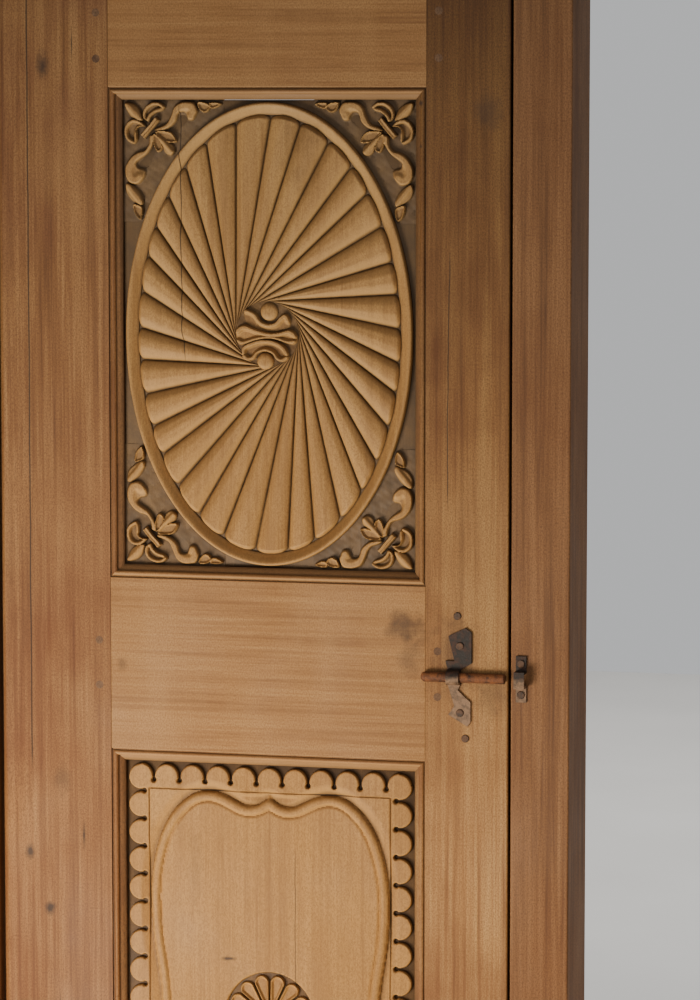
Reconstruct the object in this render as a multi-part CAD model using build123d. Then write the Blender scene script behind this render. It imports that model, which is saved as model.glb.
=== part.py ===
from build123d import *
import os
from math import acos, atan, atan2, cos, hypot, pi, sin, tan

# Carved wooden door leaf hung on wooden pivots in a plain frame, millimetres.
# X runs across the doorway, Y from the carved face into the wall, Z up.
# The origin is on the floor at the middle of the frame, in the plane of the leaf's carved face.

# Leaf: overall size and its uprights and rails, measured on their flat faces
leaf_w = 612.0
leaf_h = 1767.0
leaf_t = 40.0
hinge_stile_w = 136.5
lock_stile_w = 97.0
top_rail_h = 150.5
upper_opening_h = 570.0
lock_rail_h = 202.5
bottom_rail_h = 215.0

# Moulding stuck on every edge that faces a panel
mould_w = 14.5
mould_fillet_w = 1.6
mould_fillet_depth = 2.4
mould_bead_w = 6.0
mould_valley_depth = 4.6
mould_edge_depth = 9.5

# Hinge stile: eased front corner, rounded heel and the shallow planed strip beside them
arris_r = 12.0
strip_w = 39.0
strip_depth = 1.4
strip_end_z = 790.0
strip_runout = 110.0

# Joinery of the leaf
tenon_l = 72.0
tenon_t = 12.0
tenon_y = 17.0
tenon_shoulder = 12.5
tenon_haunch = 45.0
peg_d = 9.0
peg_inset = 14.0
peg_pitch = 53.0

# Panels: one board each, with a tongue held in a groove all round
tongue_t = 8.0
tongue_y = 18.0
tongue_l = 8.0
groove_slack = 1.5
groove_fit = 0.1
panel_back_y = 30.0
panel_gap = 0.4

# Pivots, turned on the ends of the hinge stile
pivot_d = 30.0
pivot_clearance = 0.4
lower_pivot_l = 24.0
upper_pivot_l = 32.0
socket_headroom = 6.0
pivot_chamfer = 2.0

# Gaps round the closed leaf
hinge_gap = 4.5
lock_gap = 3.0
top_gap = 4.0
bottom_gap = 6.0

# Frame
jamb_w = 68.0
frame_d = 105.0
horn = 40.0
head_h = 75.0
sill_h = 60.0
sill_nose = 14.0
stop_w = 12.0
stop_gap = 2.0
sill_stop_h = 15.0
frame_tenon_l = 38.0
frame_tenon_t = 25.0
frame_tenon_shoulder = 12.0
frame_peg_d = 12.0
frame_peg_l = 82.0
peg_sides = 8
edge_ease = 2.0

# Round-topped beads: foot as a share of the radius of the top
bead_foot = 1.5

# Upper carving: depths are measured back from the leaf's face
upper_ground = 15.0
oval_gap_x = 5.0
oval_gap_z = 4.0
oval_end_r = 126.0
rim_w = 14.5
rim_crest = 6.2
rim_round = 8.5
reeds = 33
reed_rise = 0.18
reed_groove = 14.3
reed_floor = 13.6
reed_root = 19.0
reed_overlap = 1.03
reed_tip_gap = 2.0
reed_tip_r = 5.0
reed_clip = 5.0
swirl_r = 40.0
swirl_dx = -2.0
swirl_dz = 3.0
hub_r = 41.0

# Centre knot: two balls, two crescents and a waisted tie
knot_crest = 8.0
ball_r = 11.0
ball_z = 28.5
tie_z = 1.0
scroll_crest = 8.6
scroll_edge = 1.5
scroll_tie_w = 7.0
scroll_tie_ends = [(25.6, 42.1), (41.9, 22.5)]
scroll_bud = [(24.0, 24.0), (10.0, 20.5), (2.6, 12.0), (3.4, 3.4), (15.5, 2.4), (22.6, 8.0)]
scroll_curl_up = [(13.0, 50.6), (4.4, 45.0), (2.4, 35.0), (9.0, 24.4), (20.0, 23.0), (27.0, 29.4), (17.6, 34.4)]
scroll_curl_side = [(25.6, 22.0), (25.4, 12.0), (33.0, 3.8), (45.6, 2.8), (51.0, 7.3), (38.4, 15.4), (32.0, 25.0)]
scroll_inner_leaf = [(37.0, 38.0), (38.4, 50.0), (46.0, 57.0), (57.0, 60.0), (63.0, 52.0), (61.0, 39.6), (48.0, 35.4)]
scroll_stem_up = [(35.0, 42.0), (27.0, 57.0), (9.2, 64.4), (2.6, 82.0), (9.0, 97.0), (24.0, 92.0), (28.0, 81.0),
                  (17.0, 73.6), (29.2, 60.6), (39.0, 42.0)]
scroll_stem_side = [(40.0, 35.4), (52.0, 34.6), (66.0, 18.0), (76.0, 18.0), (82.0, 25.2), (91.0, 12.0), (80.2, 2.2),
                    (64.0, 5.4), (51.0, 26.6), (41.0, 29.6)]
scroll_leaf_up = [(9.0, 100.0), (3.4, 112.0), (17.0, 135.0), (21.0, 114.0)]
scroll_leaf_side = [(92.6, 3.6), (98.0, 12.4), (117.0, 5.6), (104.0, 2.4)]
tie_half_w = 33.0
tie_end_h = 20.0
tie_waist_h = 8.0
tie_round = 4.0
crescent_half_w = 27.0
crescent_tip_z = 26.0
crescent_root_z = 5.5
crescent_t = 12.0

# Lower carving
lower_ground = 16.0
field_depth = 9.0
border_w = 29.0
border_h = 32.5
scallop_pitch = 32.4
scallop_slit = 2.0
scallop_edge = 3.0
scallop_centre = 18.0
keyhole_r = 2.3
keyhole_sides = 8
keyhole_inset = 22.5
line_w = 2.2
line_depth = 1.6
bead_w = 13.0
bead_round = 8.0
cusp_drop = 47.3
cusp_slope = 0.71
lobe_start_x = 42.0
lobe_end_x = 96.8
lobe_end_drop = 49.5
shoulder_side = 50.0
shoulder_drop = 88.1
flank_side = 40.5
flank_drop = 214.2
waist_side = 50.8
channel_w = 0.9
channel_depth = 3.0
bead_crest = 7.0
rosette_r = 50.0
rosette_recess_r = 54.0
rosette_recess = 5.0
petals = 14
petal_crest = 8.5
petal_root = 11.0
petal_gap = 0.8
petal_wall = 3.2
petal_cup = 3.0
boss_r = 13.0
boss_rise = 1.0

# Sliding bolt, its strap and the keeper
bolt_d = 11.5
bolt_l = 98.5
bolt_inset = 2.5
bolt_travel = 25.0
bolt_rise = 943.0
bolt_gap = 0.3
strap_t = 2.6
strap_x = 60.5
loop_w = 15.0
loop_gap = 0.35
strap_nail_dx = 7.0
strap_nail_up = 36.0
strap_nail_down = 41.4
old_nail_right = (3.4, 70.2)
old_nail_left = (13.0, -71.3)

# Forged leaves of the strap, from the middle of its loop: corners after the loop's foot
upper_leaf = [(-10.0, 18.4), (0.6, 18.4), (-6.5, 47.2), (13.5, 56.9), (20.5, 51.8), (20.5, 16.1)]
lower_leaf = [(4.1, -15.0), (19.4, -28.8), (19.4, -51.8), (15.8, -56.9), (-6.5, -43.7), (0.6, -33.4), (-4.0, -19.0)]
keeper_w = 12.0
keeper_t = 2.6
bolt_pass = 1.0
keeper_foot = 17.0
keeper_gap = 1.2
nail_d = 5.0
nail_head_d = 9.0
nail_head_h = 1.6
nail_l = 17.0

# Worked out from the sizes above
clear_w = leaf_w + hinge_gap + lock_gap
jamb_x = clear_w / 2
leaf_x0 = -jamb_x + hinge_gap
leaf_x1 = leaf_x0 + leaf_w
leaf_z0 = sill_h + bottom_gap
leaf_z1 = leaf_z0 + leaf_h
head_z = leaf_z1 + top_gap
frame_h = head_z + head_h
frame_x = jamb_x + jamb_w
stop_x = jamb_x - stop_w
stop_y = leaf_t + stop_gap
heel_r = leaf_t / 2
pivot_x = leaf_x0 + heel_r
pivot_y = heel_r

open_x0 = leaf_x0 + hinge_stile_w
open_x1 = leaf_x1 - lock_stile_w
upper_z1 = leaf_z1 - top_rail_h
upper_z0 = upper_z1 - upper_opening_h
lower_z1 = upper_z0 - lock_rail_h
lower_z0 = leaf_z0 + bottom_rail_h
open_w = open_x1 - open_x0
lower_opening_h = lower_z1 - lower_z0
sight_w = open_w - 2 * mould_w
upper_half_w = sight_w / 2
upper_half_h = upper_opening_h / 2 - mould_w
panel_x = (open_x0 + open_x1) / 2
groove_l = tongue_l + groove_slack

bolt_z = leaf_z0 + bolt_rise
bolt_y = -(bolt_d / 2 + bolt_gap)
bolt_x1 = leaf_x1 - bolt_inset
loop_x = bolt_x1 - strap_x
keeper_x0 = bolt_x1 + bolt_travel - bolt_pass - keeper_w


def block(x0, x1, y0, y1, z0, z1):
    """Solid between two opposite corners."""
    size = Box(x1 - x0, y1 - y0, z1 - z0, align=(Align.MIN, Align.MIN, Align.MIN))
    return Pos(x0, y0, z0) * size


def round_bar(x, y, z, r, length, direction):
    """Cylinder that starts at a point and runs along a direction."""
    bar = Cylinder(r, length, align=(Align.CENTER, Align.CENTER, Align.MIN))
    return Plane(origin=(x, y, z), z_dir=direction) * bar


def peg(x, z, across, length):
    """Whittled peg with flat sides, driven straight back from the face."""
    end = RegularPolygon(across / 2, peg_sides, major_radius=False)
    return extrude(front_plane(x, 0, z) * end, length, dir=(0, 1, 0))


def front_plane(x, depth, z):
    """Plane parallel to the carved face, with its normal towards the viewer."""
    return Plane(origin=(x, depth, z), x_dir=(1, 0, 0), z_dir=(0, -1, 0))


def raised(outline, plane, height):
    """Relief of constant height on a plane parallel to the face."""
    return extrude(plane * outline, amount=height, dir=plane.z_dir)


# Frame


def jamb(side):
    """Upright of the frame with its stop and a tenon at each end; side is -1 left, 1 right."""
    outer = side * frame_x
    inner = side * jamb_x
    post = block(min(outer, inner), max(outer, inner), 0, frame_d, sill_h, head_z)
    post = fillet(post.edges().filter_by(Axis.Z).sort_by(Axis.Y)[:2], edge_ease)
    stop_in = side * stop_x
    stop = block(
        min(inner, stop_in), max(inner, stop_in), stop_y, frame_d, sill_h + sill_stop_h, head_z - stop_w
    )
    tenon_x0 = min(outer, inner) + frame_tenon_shoulder
    tenon_x1 = max(outer, inner) - frame_tenon_shoulder
    tenon = block(tenon_x0, tenon_x1, *frame_tenon_depths(), sill_h - frame_tenon_l, head_z + frame_tenon_l)
    return post + stop + tenon - [frame_peg(side, z) for z in frame_peg_heights()]


def frame_tenon_depths():
    """Front and back of the frame's tenons."""
    middle = frame_d / 2
    return middle - frame_tenon_t / 2, middle + frame_tenon_t / 2


def frame_peg_heights():
    """Heights of the pegs through the lower and the upper frame joints."""
    return sill_h - frame_tenon_l / 2, head_z + frame_tenon_l / 2


def frame_peg(side, z):
    """Peg driven from the front through a frame tenon."""
    return peg(side * (jamb_x + jamb_w / 2), z, frame_peg_d, frame_peg_l)


def frame_mortises():
    """Spaces of the four jamb tenons."""
    y0, y1 = frame_tenon_depths()
    x0 = jamb_x + frame_tenon_shoulder
    x1 = frame_x - frame_tenon_shoulder
    z0 = sill_h - frame_tenon_l
    z1 = head_z + frame_tenon_l
    return [block(x0, x1, y0, y1, z0, z1), block(-x1, -x0, y0, y1, z0, z1)]


def horned_beam(y0, z0, z1):
    """Head or threshold timber with horns past the jambs and eased front edges."""
    beam = block(-frame_x - horn, frame_x + horn, y0, frame_d, z0, z1)
    front = beam.edges().filter_by(Axis.X).sort_by(Axis.Y)[:2]
    return fillet(front, edge_ease)


def make_head():
    """Head beam with its stop, mortises and the blind upper pivot socket."""
    beam = horned_beam(0, head_z, frame_h)
    beam += block(-jamb_x, jamb_x, stop_y, frame_d, head_z - stop_w, head_z)
    depth = upper_pivot_l + socket_headroom
    socket = round_bar(pivot_x, pivot_y, head_z, pivot_d / 2 + pivot_clearance, depth, (0, 0, 1))
    pegs = [frame_peg(s, frame_peg_heights()[1]) for s in (-1, 1)]
    return beam - frame_mortises() - socket - pegs


def make_threshold():
    """Threshold with its nose, raised stop, mortises and the lower pivot socket."""
    beam = horned_beam(-sill_nose, 0, sill_h)
    beam += block(-jamb_x, jamb_x, stop_y, frame_d, sill_h, sill_h + sill_stop_h)
    socket = round_bar(
        pivot_x, pivot_y, sill_h - lower_pivot_l, pivot_d / 2 + pivot_clearance, lower_pivot_l, (0, 0, 1)
    )
    pegs = [frame_peg(s, frame_peg_heights()[0]) for s in (-1, 1)]
    return beam - frame_mortises() - socket - pegs_from_nose(pegs)


def pegs_from_nose(pegs):
    """Peg holes of the threshold, carried forward through its nose."""
    nose = [Pos(0, -sill_nose, 0) * peg for peg in pegs]
    return pegs + nose


def make_frame_pegs():
    """Four pegs; the lower two are longer by the threshold's nose."""
    low, high = frame_peg_heights()
    upper = [frame_peg(s, high) for s in (-1, 1)]
    lower = [frame_peg(s, low) + Pos(0, -sill_nose, 0) * frame_peg(s, low) for s in (-1, 1)]
    return Compound(children=upper + lower)


# Leaf: moulded edges


def moulding_section():
    """Section of a stile's or rail's moulded edge, with the panel groove, in plan."""
    bead_x = mould_fillet_w + mould_bead_w / 2
    bead_end = mould_fillet_w + mould_bead_w
    mid_x = (bead_end + mould_w) / 2
    mid_y = (mould_valley_depth + mould_edge_depth) / 2 - 0.9
    groove_x = mould_w - groove_l
    groove_y0 = tongue_y - groove_fit
    groove_y1 = tongue_y + tongue_t + groove_fit
    with BuildSketch() as section:
        with BuildLine():
            Polyline((0, leaf_t), (0, mould_fillet_depth), (mould_fillet_w, mould_fillet_depth))
            ThreePointArc((mould_fillet_w, mould_fillet_depth), (bead_x, 0), (bead_end, mould_valley_depth))
            ThreePointArc((bead_end, mould_valley_depth), (mid_x, mid_y), (mould_w, mould_edge_depth))
            Polyline(
                (mould_w, mould_edge_depth),
                (mould_w, groove_y0),
                (groove_x, groove_y0),
                (groove_x, groove_y1),
                (mould_w, groove_y1),
                (mould_w, leaf_t),
                (0, leaf_t),
            )
        make_face()
    return section.sketch


def moulded_edge(length):
    """Moulded strip along +Z, mitred at both ends, with the panel on its +X side."""
    strip = extrude(moulding_section(), amount=length)
    mitre = Polygon((0, 0), (mould_w, mould_w), (mould_w, length - mould_w), (0, length), align=None)
    keep = extrude(front_plane(0, leaf_t, 0) * mitre, amount=leaf_t)
    return strip & keep


def edge_on_left(z0, z1):
    """Moulded edge of the hinge stile beside an opening."""
    return Pos(open_x0, 0, z0) * moulded_edge(z1 - z0)


def edge_on_right(z0, z1):
    """Moulded edge of the lock stile beside an opening."""
    return Pos(open_x1, 0, z0) * mirror(moulded_edge(z1 - z0), about=Plane.YZ)


def edge_below(z):
    """Moulded edge of the rail under an opening."""
    return Pos(open_x1, 0, z) * Rot(0, -90, 0) * moulded_edge(open_w)


def edge_above(z):
    """Moulded edge of the rail over an opening."""
    return Pos(open_x0, 0, z) * Rot(0, 90, 0) * moulded_edge(open_w)


# Leaf: stiles and rails


def rail_tenon_spans():
    """Lower and upper end of each rail's tenons, from the top rail down."""
    top = (upper_z1 + tenon_shoulder, leaf_z1 - tenon_haunch)
    lock = (lower_z1 + tenon_haunch, upper_z0 - tenon_haunch)
    bottom = (leaf_z0 + tenon_haunch, lower_z0 - tenon_shoulder)
    return [top, lock, bottom]


def tenon_pair(span):
    """Both tenons of one rail."""
    z0, z1 = span
    left = block(open_x0 - tenon_l, open_x0, tenon_y, tenon_y + tenon_t, z0, z1)
    right = block(open_x1, open_x1 + tenon_l, tenon_y, tenon_y + tenon_t, z0, z1)
    return [left, right]


def leaf_peg_solids():
    """Two pegs through each tenon."""
    solids = []
    for z0, z1 in rail_tenon_spans():
        middle = (z0 + z1) / 2
        for x in (open_x0 - peg_inset, open_x1 + peg_inset):
            for z in (middle - peg_pitch / 2, middle + peg_pitch / 2):
                solids.append(peg(x, z, peg_d, leaf_t))
    return solids


def joinery_cuts():
    """Mortises and peg holes shared by both stiles."""
    mortises = []
    for span in rail_tenon_spans():
        mortises += tenon_pair(span)
    return mortises + leaf_peg_solids()


def heel_section():
    """Plan of the hinge stile with its eased front corner and rounded heel."""
    stile = Pos(leaf_x0, 0) * Rectangle(hinge_stile_w, leaf_t, align=(Align.MIN, Align.MIN))
    corners = stile.vertices().group_by(Axis.X)[0].sort_by(Axis.Y)
    stile = fillet(corners[0], arris_r)
    back = stile.vertices().sort_by(Axis.X).sort_by(lambda v: hypot(v.X - leaf_x0, v.Y - leaf_t))[0]
    return fillet(back, heel_r)


def planed_strip():
    """Shallow step along the hinge stile's outer part, fading out at its lower end."""
    z_top = leaf_z1 + 1
    run = Polygon(
        (0, strip_end_z), (strip_depth, strip_end_z + strip_runout), (strip_depth, z_top), (0, z_top), align=None
    )
    side = Plane(origin=(leaf_x0 - 1, 0, 0), x_dir=(0, 1, 0), z_dir=(1, 0, 0))
    return extrude(side * run, amount=strip_w + 1)


def pivot(z, length, direction):
    """Turned pivot on one end of the hinge stile."""
    bar = round_bar(pivot_x, pivot_y, z, pivot_d / 2, length, (0, 0, direction))
    tip = bar.edges().filter_by(GeomType.CIRCLE).sort_by(Axis.Z)[-1 if direction > 0 else 0]
    return chamfer(tip, pivot_chamfer)


def make_hinge_stile():
    """Hinge stile with both moulded edges, mortises and its two pivots."""
    post = Pos(0, 0, leaf_z0) * extrude(heel_section(), amount=leaf_h)
    post += edge_on_left(upper_z0, upper_z1)
    post += edge_on_left(lower_z0, lower_z1)
    post = post - joinery_cuts() - planed_strip()
    post += pivot(leaf_z0, bottom_gap + lower_pivot_l, -1)
    post += pivot(leaf_z1, top_gap + upper_pivot_l, 1)
    return post


def make_lock_stile():
    """Lock stile with both moulded edges, mortises and old nail holes."""
    post = block(open_x1, leaf_x1, 0, leaf_t, leaf_z0, leaf_z1)
    outer = post.edges().filter_by(Axis.Z).sort_by(Axis.X)[-2:]
    post = fillet(outer, edge_ease)
    post += edge_on_right(upper_z0, upper_z1)
    post += edge_on_right(lower_z0, lower_z1)
    nails = [nail(x, z, strap_t) for x, z in strap_nail_places()]
    nails += [nail(x, z, 0) for x, z in old_nail_places()]
    return post - joinery_cuts() - nails


def make_rail(z0, z1, span, edges):
    """Rail between the stiles with its moulded edges and tenons."""
    rail = block(open_x0, open_x1, 0, leaf_t, z0, z1)
    for solid in edges + tenon_pair(span):
        rail += solid
    return rail - leaf_peg_solids()


# Panels


def panel_board(z0, z1, ground):
    """Board at the depth of the carved ground, with its tongue; z0 and z1 are the opening's edges."""
    x0 = open_x0 + mould_w
    x1 = open_x1 - mould_w
    low = z0 + mould_w
    high = z1 - mould_w
    body = block(
        x0 + panel_gap, x1 - panel_gap, ground, panel_back_y, low + panel_gap, high - panel_gap
    )
    tongue = block(
        x0 - tongue_l, x1 + tongue_l, tongue_y, tongue_y + tongue_t, low - tongue_l, high + tongue_l
    )
    return body + tongue


def tangent_arcs(start, heading, corners):
    """Chain of arcs through the corners, each tangent to the one before."""
    arcs = []
    for corner in corners:
        arc = Edge.make_tangent_arc(start, heading, Vector(*corner))
        arcs.append(arc)
        start = arc @ 1
        heading = arc % 1
    return arcs


def bead_section(path, width, r):
    """Round-topped section with upright sides across the start of a path, its crest on the path."""
    across = Plane(origin=path @ 0, x_dir=(0, 0, 1), z_dir=path % 0)
    body = Rectangle(bead_foot * r, width, align=(Align.MAX, Align.CENTER))
    return across * (Pos(-r, 0) * Circle(r) & body)


def oval(inset):
    """Oval drawn from four centres, clockwise from its top, a given distance inside the bead's outer edge."""
    half_w = sight_w / 2 - oval_gap_x
    half_h = upper_opening_h / 2 - mould_w - oval_gap_z
    side_r = (half_w**2 + half_h**2 - 2 * half_h * oval_end_r) / (2 * (half_w - oval_end_r))
    lean = atan2(half_h - oval_end_r, side_r - half_w)
    x = (oval_end_r - inset) * cos(lean)
    y = half_h - oval_end_r + (oval_end_r - inset) * sin(lean)
    top = Vector(0, half_h - inset)
    corners = [(x, y), (x, -y), (-x, -y), (-x, y), (0, half_h - inset)]
    return Wire(tangent_arcs(top, Vector(1, 0), corners))


def rim_bead():
    """Oval bead round the reeds; the face is at height 0."""
    path = Pos(0, 0, -rim_crest) * oval(rim_w / 2)
    return sweep(bead_section(path, rim_w, rim_round), path=path)


def groove_lines(path):
    """Start on the swirl ring and direction of each groove, going clockwise from the top."""
    lines = []
    for i in range(reeds):
        p = path.position_at(i / reeds)
        away = hypot(p.X - swirl_dx, p.Y - swirl_dz)
        turn = atan2(p.Y - swirl_dz, p.X - swirl_dx) + acos(swirl_r / away)
        root = Vector(swirl_dx + swirl_r * cos(turn), swirl_dz + swirl_r * sin(turn))
        lines.append((root, (p - root).normalized()))
    return lines


def reed(line, following):
    """Tapering reed between two groove lines: a cone that starts where they cross, its seam underneath."""
    (p, d), (q, e) = line, following
    cross = d.X * e.Y - d.Y * e.X
    apex = p + d * (((q.X - p.X) * e.Y - (q.Y - p.Y) * e.X) / cross)
    middle = (d + e).normalized()
    half = acos(d.dot(e)) / 2 * reed_overlap
    crest = atan(2 * reed_rise * tan(half))
    dip = atan((cos(crest) - cos(half)) / sin(crest))
    spread = tan(dip + crest)
    axis = Vector(middle.X * cos(dip), middle.Y * cos(dip), -sin(dip))
    near = hub_r - swirl_r
    far = upper_opening_h / 2
    cone = Cone(far * spread, near * spread, far - near, align=(Align.CENTER, Align.CENTER, Align.MIN))
    seam = Vector(-middle.X * sin(dip), -middle.Y * sin(dip), -cos(dip))
    cone = Plane(origin=apex + axis * far, x_dir=seam, z_dir=-axis) * cone
    return Pos(0, 0, -reed_groove) * cone


def join_neighbours(solids):
    """One solid from a ring of solids, joined in pairs."""
    while len(solids) > 1:
        pairs = [a + b for a, b in zip(solids[0::2], solids[1::2])]
        solids = pairs + solids[2 * len(pairs):]
    return solids[0]


def reed_field():
    """Swirl of reeds clipped to the oval, open at the hub; the face is at height 0."""
    lines = groove_lines(oval(rim_w))
    floor = Pos(0, 0, -reed_root) * make_face(oval(rim_w + reed_tip_gap))
    plate = extrude(floor, reed_root - reed_clip)
    plate = fillet(plate.edges().group_by(Axis.Z)[-1], reed_tip_r)
    hub = Pos(swirl_dx, swirl_dz, -reed_root) * upright(hub_r, reed_root)
    bounds = plate - hub
    cones = [reed(lines[i], lines[(i + 1) % reeds]) & bounds for i in range(reeds)]
    return join_neighbours(cones)


def upright(r, height):
    """Cylinder standing on the plane of its sketch."""
    return Cylinder(r, height, align=(Align.CENTER, Align.CENTER, Align.MIN))


def dome(r, height):
    """Cap of a sphere with a given foot radius and height, free of the sphere's seam and poles."""
    full = (r * r + height * height) / (2 * height)
    return Pos(0, 0, height - full) * Rot(0, 90, 0) * Sphere(full) & upright(r, height)


def carved_floor():
    """Flat floor inside the oval bead: the bottoms of the grooves and the bed of the knot."""
    return extrude(Pos(0, 0, -reed_root) * make_face(oval(rim_w / 2)), reed_root - reed_floor)


def make_upper_panel():
    """Upper carved board."""
    plane = front_plane(panel_x, 0, (upper_z0 + upper_z1) / 2)
    board = panel_board(upper_z0, upper_z1, upper_ground)
    board += plane * carved_floor()
    board += plane * reed_field()
    board += plane * rim_bead()
    for piece in knot() + corner_scrolls():
        board += plane * piece
    return board


def soft_outline(points):
    """Flat shape inside a smooth closed curve through the given points."""
    return make_face(Spline(*points, periodic=True))


def corner_scroll():
    """Leaf scroll seen from its corner: tie, bud, two curls, inner leaf, two stems and their leaves."""
    shapes = [scroll_bud, scroll_curl_up, scroll_curl_side, scroll_inner_leaf, scroll_stem_up, scroll_stem_side,
              scroll_leaf_up, scroll_leaf_side]
    figure = Sketch()
    for points in shapes:
        figure += soft_outline(points)
    figure += make_hull([Pos(*end) * Circle(scroll_tie_w / 2).edge() for end in scroll_tie_ends])
    reach = upper_half_h
    return figure & Pos(scroll_edge, scroll_edge) * Rectangle(reach, reach, align=(Align.MIN, Align.MIN))


def corner_scrolls():
    """The leaf scroll in the four corners of the upper panel, raised from its ground."""
    foot = -upper_ground - 1
    lower_left = Pos(-upper_half_w, -upper_half_h) * corner_scroll()
    lower = [lower_left, mirror(lower_left, about=Plane.YZ)]
    shapes = lower + [mirror(shape, about=Plane.XZ) for shape in lower]
    return [Pos(0, 0, foot) * extrude(shape, -foot - scroll_crest, dir=(0, 0, 1)) for shape in shapes]


def knot():
    """Centre knot: balls above and below, two crescents and a waisted tie between them."""
    foot = -reed_floor - 1
    rise = -foot - knot_crest
    tie = tie_outline()
    upper = crescent_outline()
    lower = mirror(upper, about=Plane.XZ)
    pieces = [Pos(0, 0, foot) * extrude(tie, rise)]
    pieces += [Pos(0, tie_z, foot) * extrude(shape, rise) for shape in (upper, lower)]
    pieces += [Pos(0, tie_z + side * ball_z, foot) * dome(ball_r, rise) for side in (1, -1)]
    return pieces


def tie_outline():
    """Waisted band across the middle of the knot."""
    w = tie_half_w
    end = tie_end_h / 2 - tie_round
    waist = tie_waist_h / 2
    with BuildSketch() as band:
        with BuildLine():
            ThreePointArc((-w, tie_z + end), (0, tie_z + waist), (w, tie_z + end))
            ThreePointArc((w, tie_z + end), (w + tie_round, tie_z), (w, tie_z - end))
            ThreePointArc((w, tie_z - end), (0, tie_z - waist), (-w, tie_z - end))
            ThreePointArc((-w, tie_z - end), (-w - tie_round, tie_z), (-w, tie_z + end))
        make_face()
    return band.sketch


def crescent_outline():
    """Crescent open upwards that cups the upper ball."""
    w = crescent_half_w
    with BuildSketch() as horn_shape:
        with BuildLine():
            ThreePointArc((-w, crescent_tip_z), (0, crescent_root_z), (w, crescent_tip_z))
            ThreePointArc((w, crescent_tip_z), (0, crescent_root_z + crescent_t), (-w, crescent_tip_z))
        make_face()
    return horn_shape.sketch


# Lower panel


def make_lower_panel():
    """Lower carved board."""
    plane = front_plane(panel_x, 0, (lower_z0 + lower_z1) / 2)
    board = panel_board(lower_z0, lower_z1, lower_ground)
    relief = field_plate() - line_grooves() - cusped_channel() + cusped_bead()
    relief = relief - rosette_pocket() + rosette()
    return board + plane * relief


def panel_half():
    """Half width and half height of the lower panel inside its moulding."""
    return sight_w / 2, lower_opening_h / 2 - mould_w


def field_plate():
    """Raised field with its scalloped edge and drilled keyholes."""
    half_w, half_h = panel_half()
    rise = lower_ground - field_depth
    inner = Rectangle(2 * (half_w - scallop_centre), 2 * (half_h - scallop_centre))
    rows = round(2 * half_h / scallop_pitch)
    columns = round(2 * half_w / scallop_pitch)
    discs, slits = scallop_row(half_w, half_h, columns)
    side_discs, side_slits = scallop_row(half_h, half_w, rows)
    turn = Rot(0, 0, 90)
    outline = Sketch() + [inner] + discs + [turn * disc for disc in side_discs]
    plate = extrude(outline, rise)
    cuts = [extrude(slit, rise) for slit in slits + [turn * slit for slit in side_slits]]
    return Pos(0, 0, -lower_ground) * (plate - cuts)


def scallop_row(half_l, half_d, count):
    """Discs and keyhole slits along both long edges of a field; half_l runs along the edge."""
    pitch = 2 * (half_l - scallop_edge) / count
    r = (pitch - scallop_slit) / 2
    y = half_d - scallop_edge - r
    discs = []
    slits = []
    for side in (1, -1):
        for i in range(count):
            x = (i + 0.5) * pitch - half_l + scallop_edge
            discs.append(Pos(x, side * y) * Circle(r))
            if i:
                gap_x = x - pitch / 2
                hole_y = half_d - keyhole_inset
                discs.append(Pos(gap_x, side * (y - r / 2)) * Rectangle(pitch, r))
                slits.append(Pos(gap_x, side * (hole_y + r / 2)) * Rectangle(scallop_slit, r))
                slits.append(Pos(gap_x, side * hole_y) * RegularPolygon(keyhole_r, keyhole_sides))
    return discs, slits


def line_grooves():
    """Incised rectangle inside the scalloped border, a V cut on each side."""
    half_w, half_h = panel_half()
    x = half_w - border_w
    y = half_h - border_h
    cuts = []
    for side in (1, -1):
        cuts.append(v_cut((-x, side * y), (x, side * y)))
        cuts.append(v_cut((side * x, -y), (side * x, y)))
    return cuts


def v_cut(start, end):
    """Straight V groove cut into the flat field."""
    path = Edge.make_line((*start, -field_depth), (*end, -field_depth))
    across = Plane(origin=path @ 0, x_dir=(0, 0, 1), z_dir=path % 0)
    section = Polygon((-line_depth, 0), (1, -line_w / 2), (1, line_w / 2), align=None)
    return extrude(across * section, path.length, dir=path % 0)


def cusped_quarter():
    """Centre line of the cusped moulding in one quarter: tangent arcs from the top cusp to the waist."""
    half_w, half_h = panel_half()
    corners = [
        (lobe_start_x, half_h - cusp_drop),
        (lobe_end_x, half_h - lobe_end_drop),
        (half_w - shoulder_side, half_h - shoulder_drop),
        (half_w - flank_side, half_h - flank_drop),
        (half_w - waist_side, 0),
    ]
    start = Vector(0, half_h - cusp_drop)
    heading = Vector(1, -cusp_slope)
    return tangent_arcs(start, heading, corners)


def four_quarters(shape):
    """A shape and its mirror images in the other three quarters."""
    right = [shape, mirror(shape, about=Plane.XZ)]
    return right + [mirror(item, about=Plane.YZ) for item in right]


def cusped_channel():
    """Channel with upright walls that the moulding lies in."""
    edges = []
    for arc in cusped_quarter():
        edges += four_quarters(arc)
    figure = Sketch() + make_face(Wire.combine(edges)[0])
    reach = bead_w / 2 + channel_w
    ring = offset(figure, amount=reach) - offset(figure, amount=-reach)
    return extrude(Pos(0, 0, -field_depth - channel_depth) * ring, channel_depth + 1)


def cusped_bead():
    """Round moulding along the cusped line, one solid for each quarter."""
    path = Pos(0, 0, -bead_crest) * Wire(cusped_quarter())
    section = bead_section(path, bead_w, bead_round)
    rod = sweep(section, path=path) + extrude(section, bead_w, dir=-(path % 0))
    half_w, half_h = panel_half()
    low = Pos(0, 0, -bead_crest - 2 * bead_round)
    rod = rod & low * Box(half_w, half_h, 2 * bead_round, align=(Align.MIN, Align.MIN, Align.MIN))
    return four_quarters(rod)


def rosette_pocket():
    """Round sunk bed of the rosette."""
    return Pos(0, 0, -field_depth - rosette_recess) * upright(rosette_recess_r, rosette_recess + 1)


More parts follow.
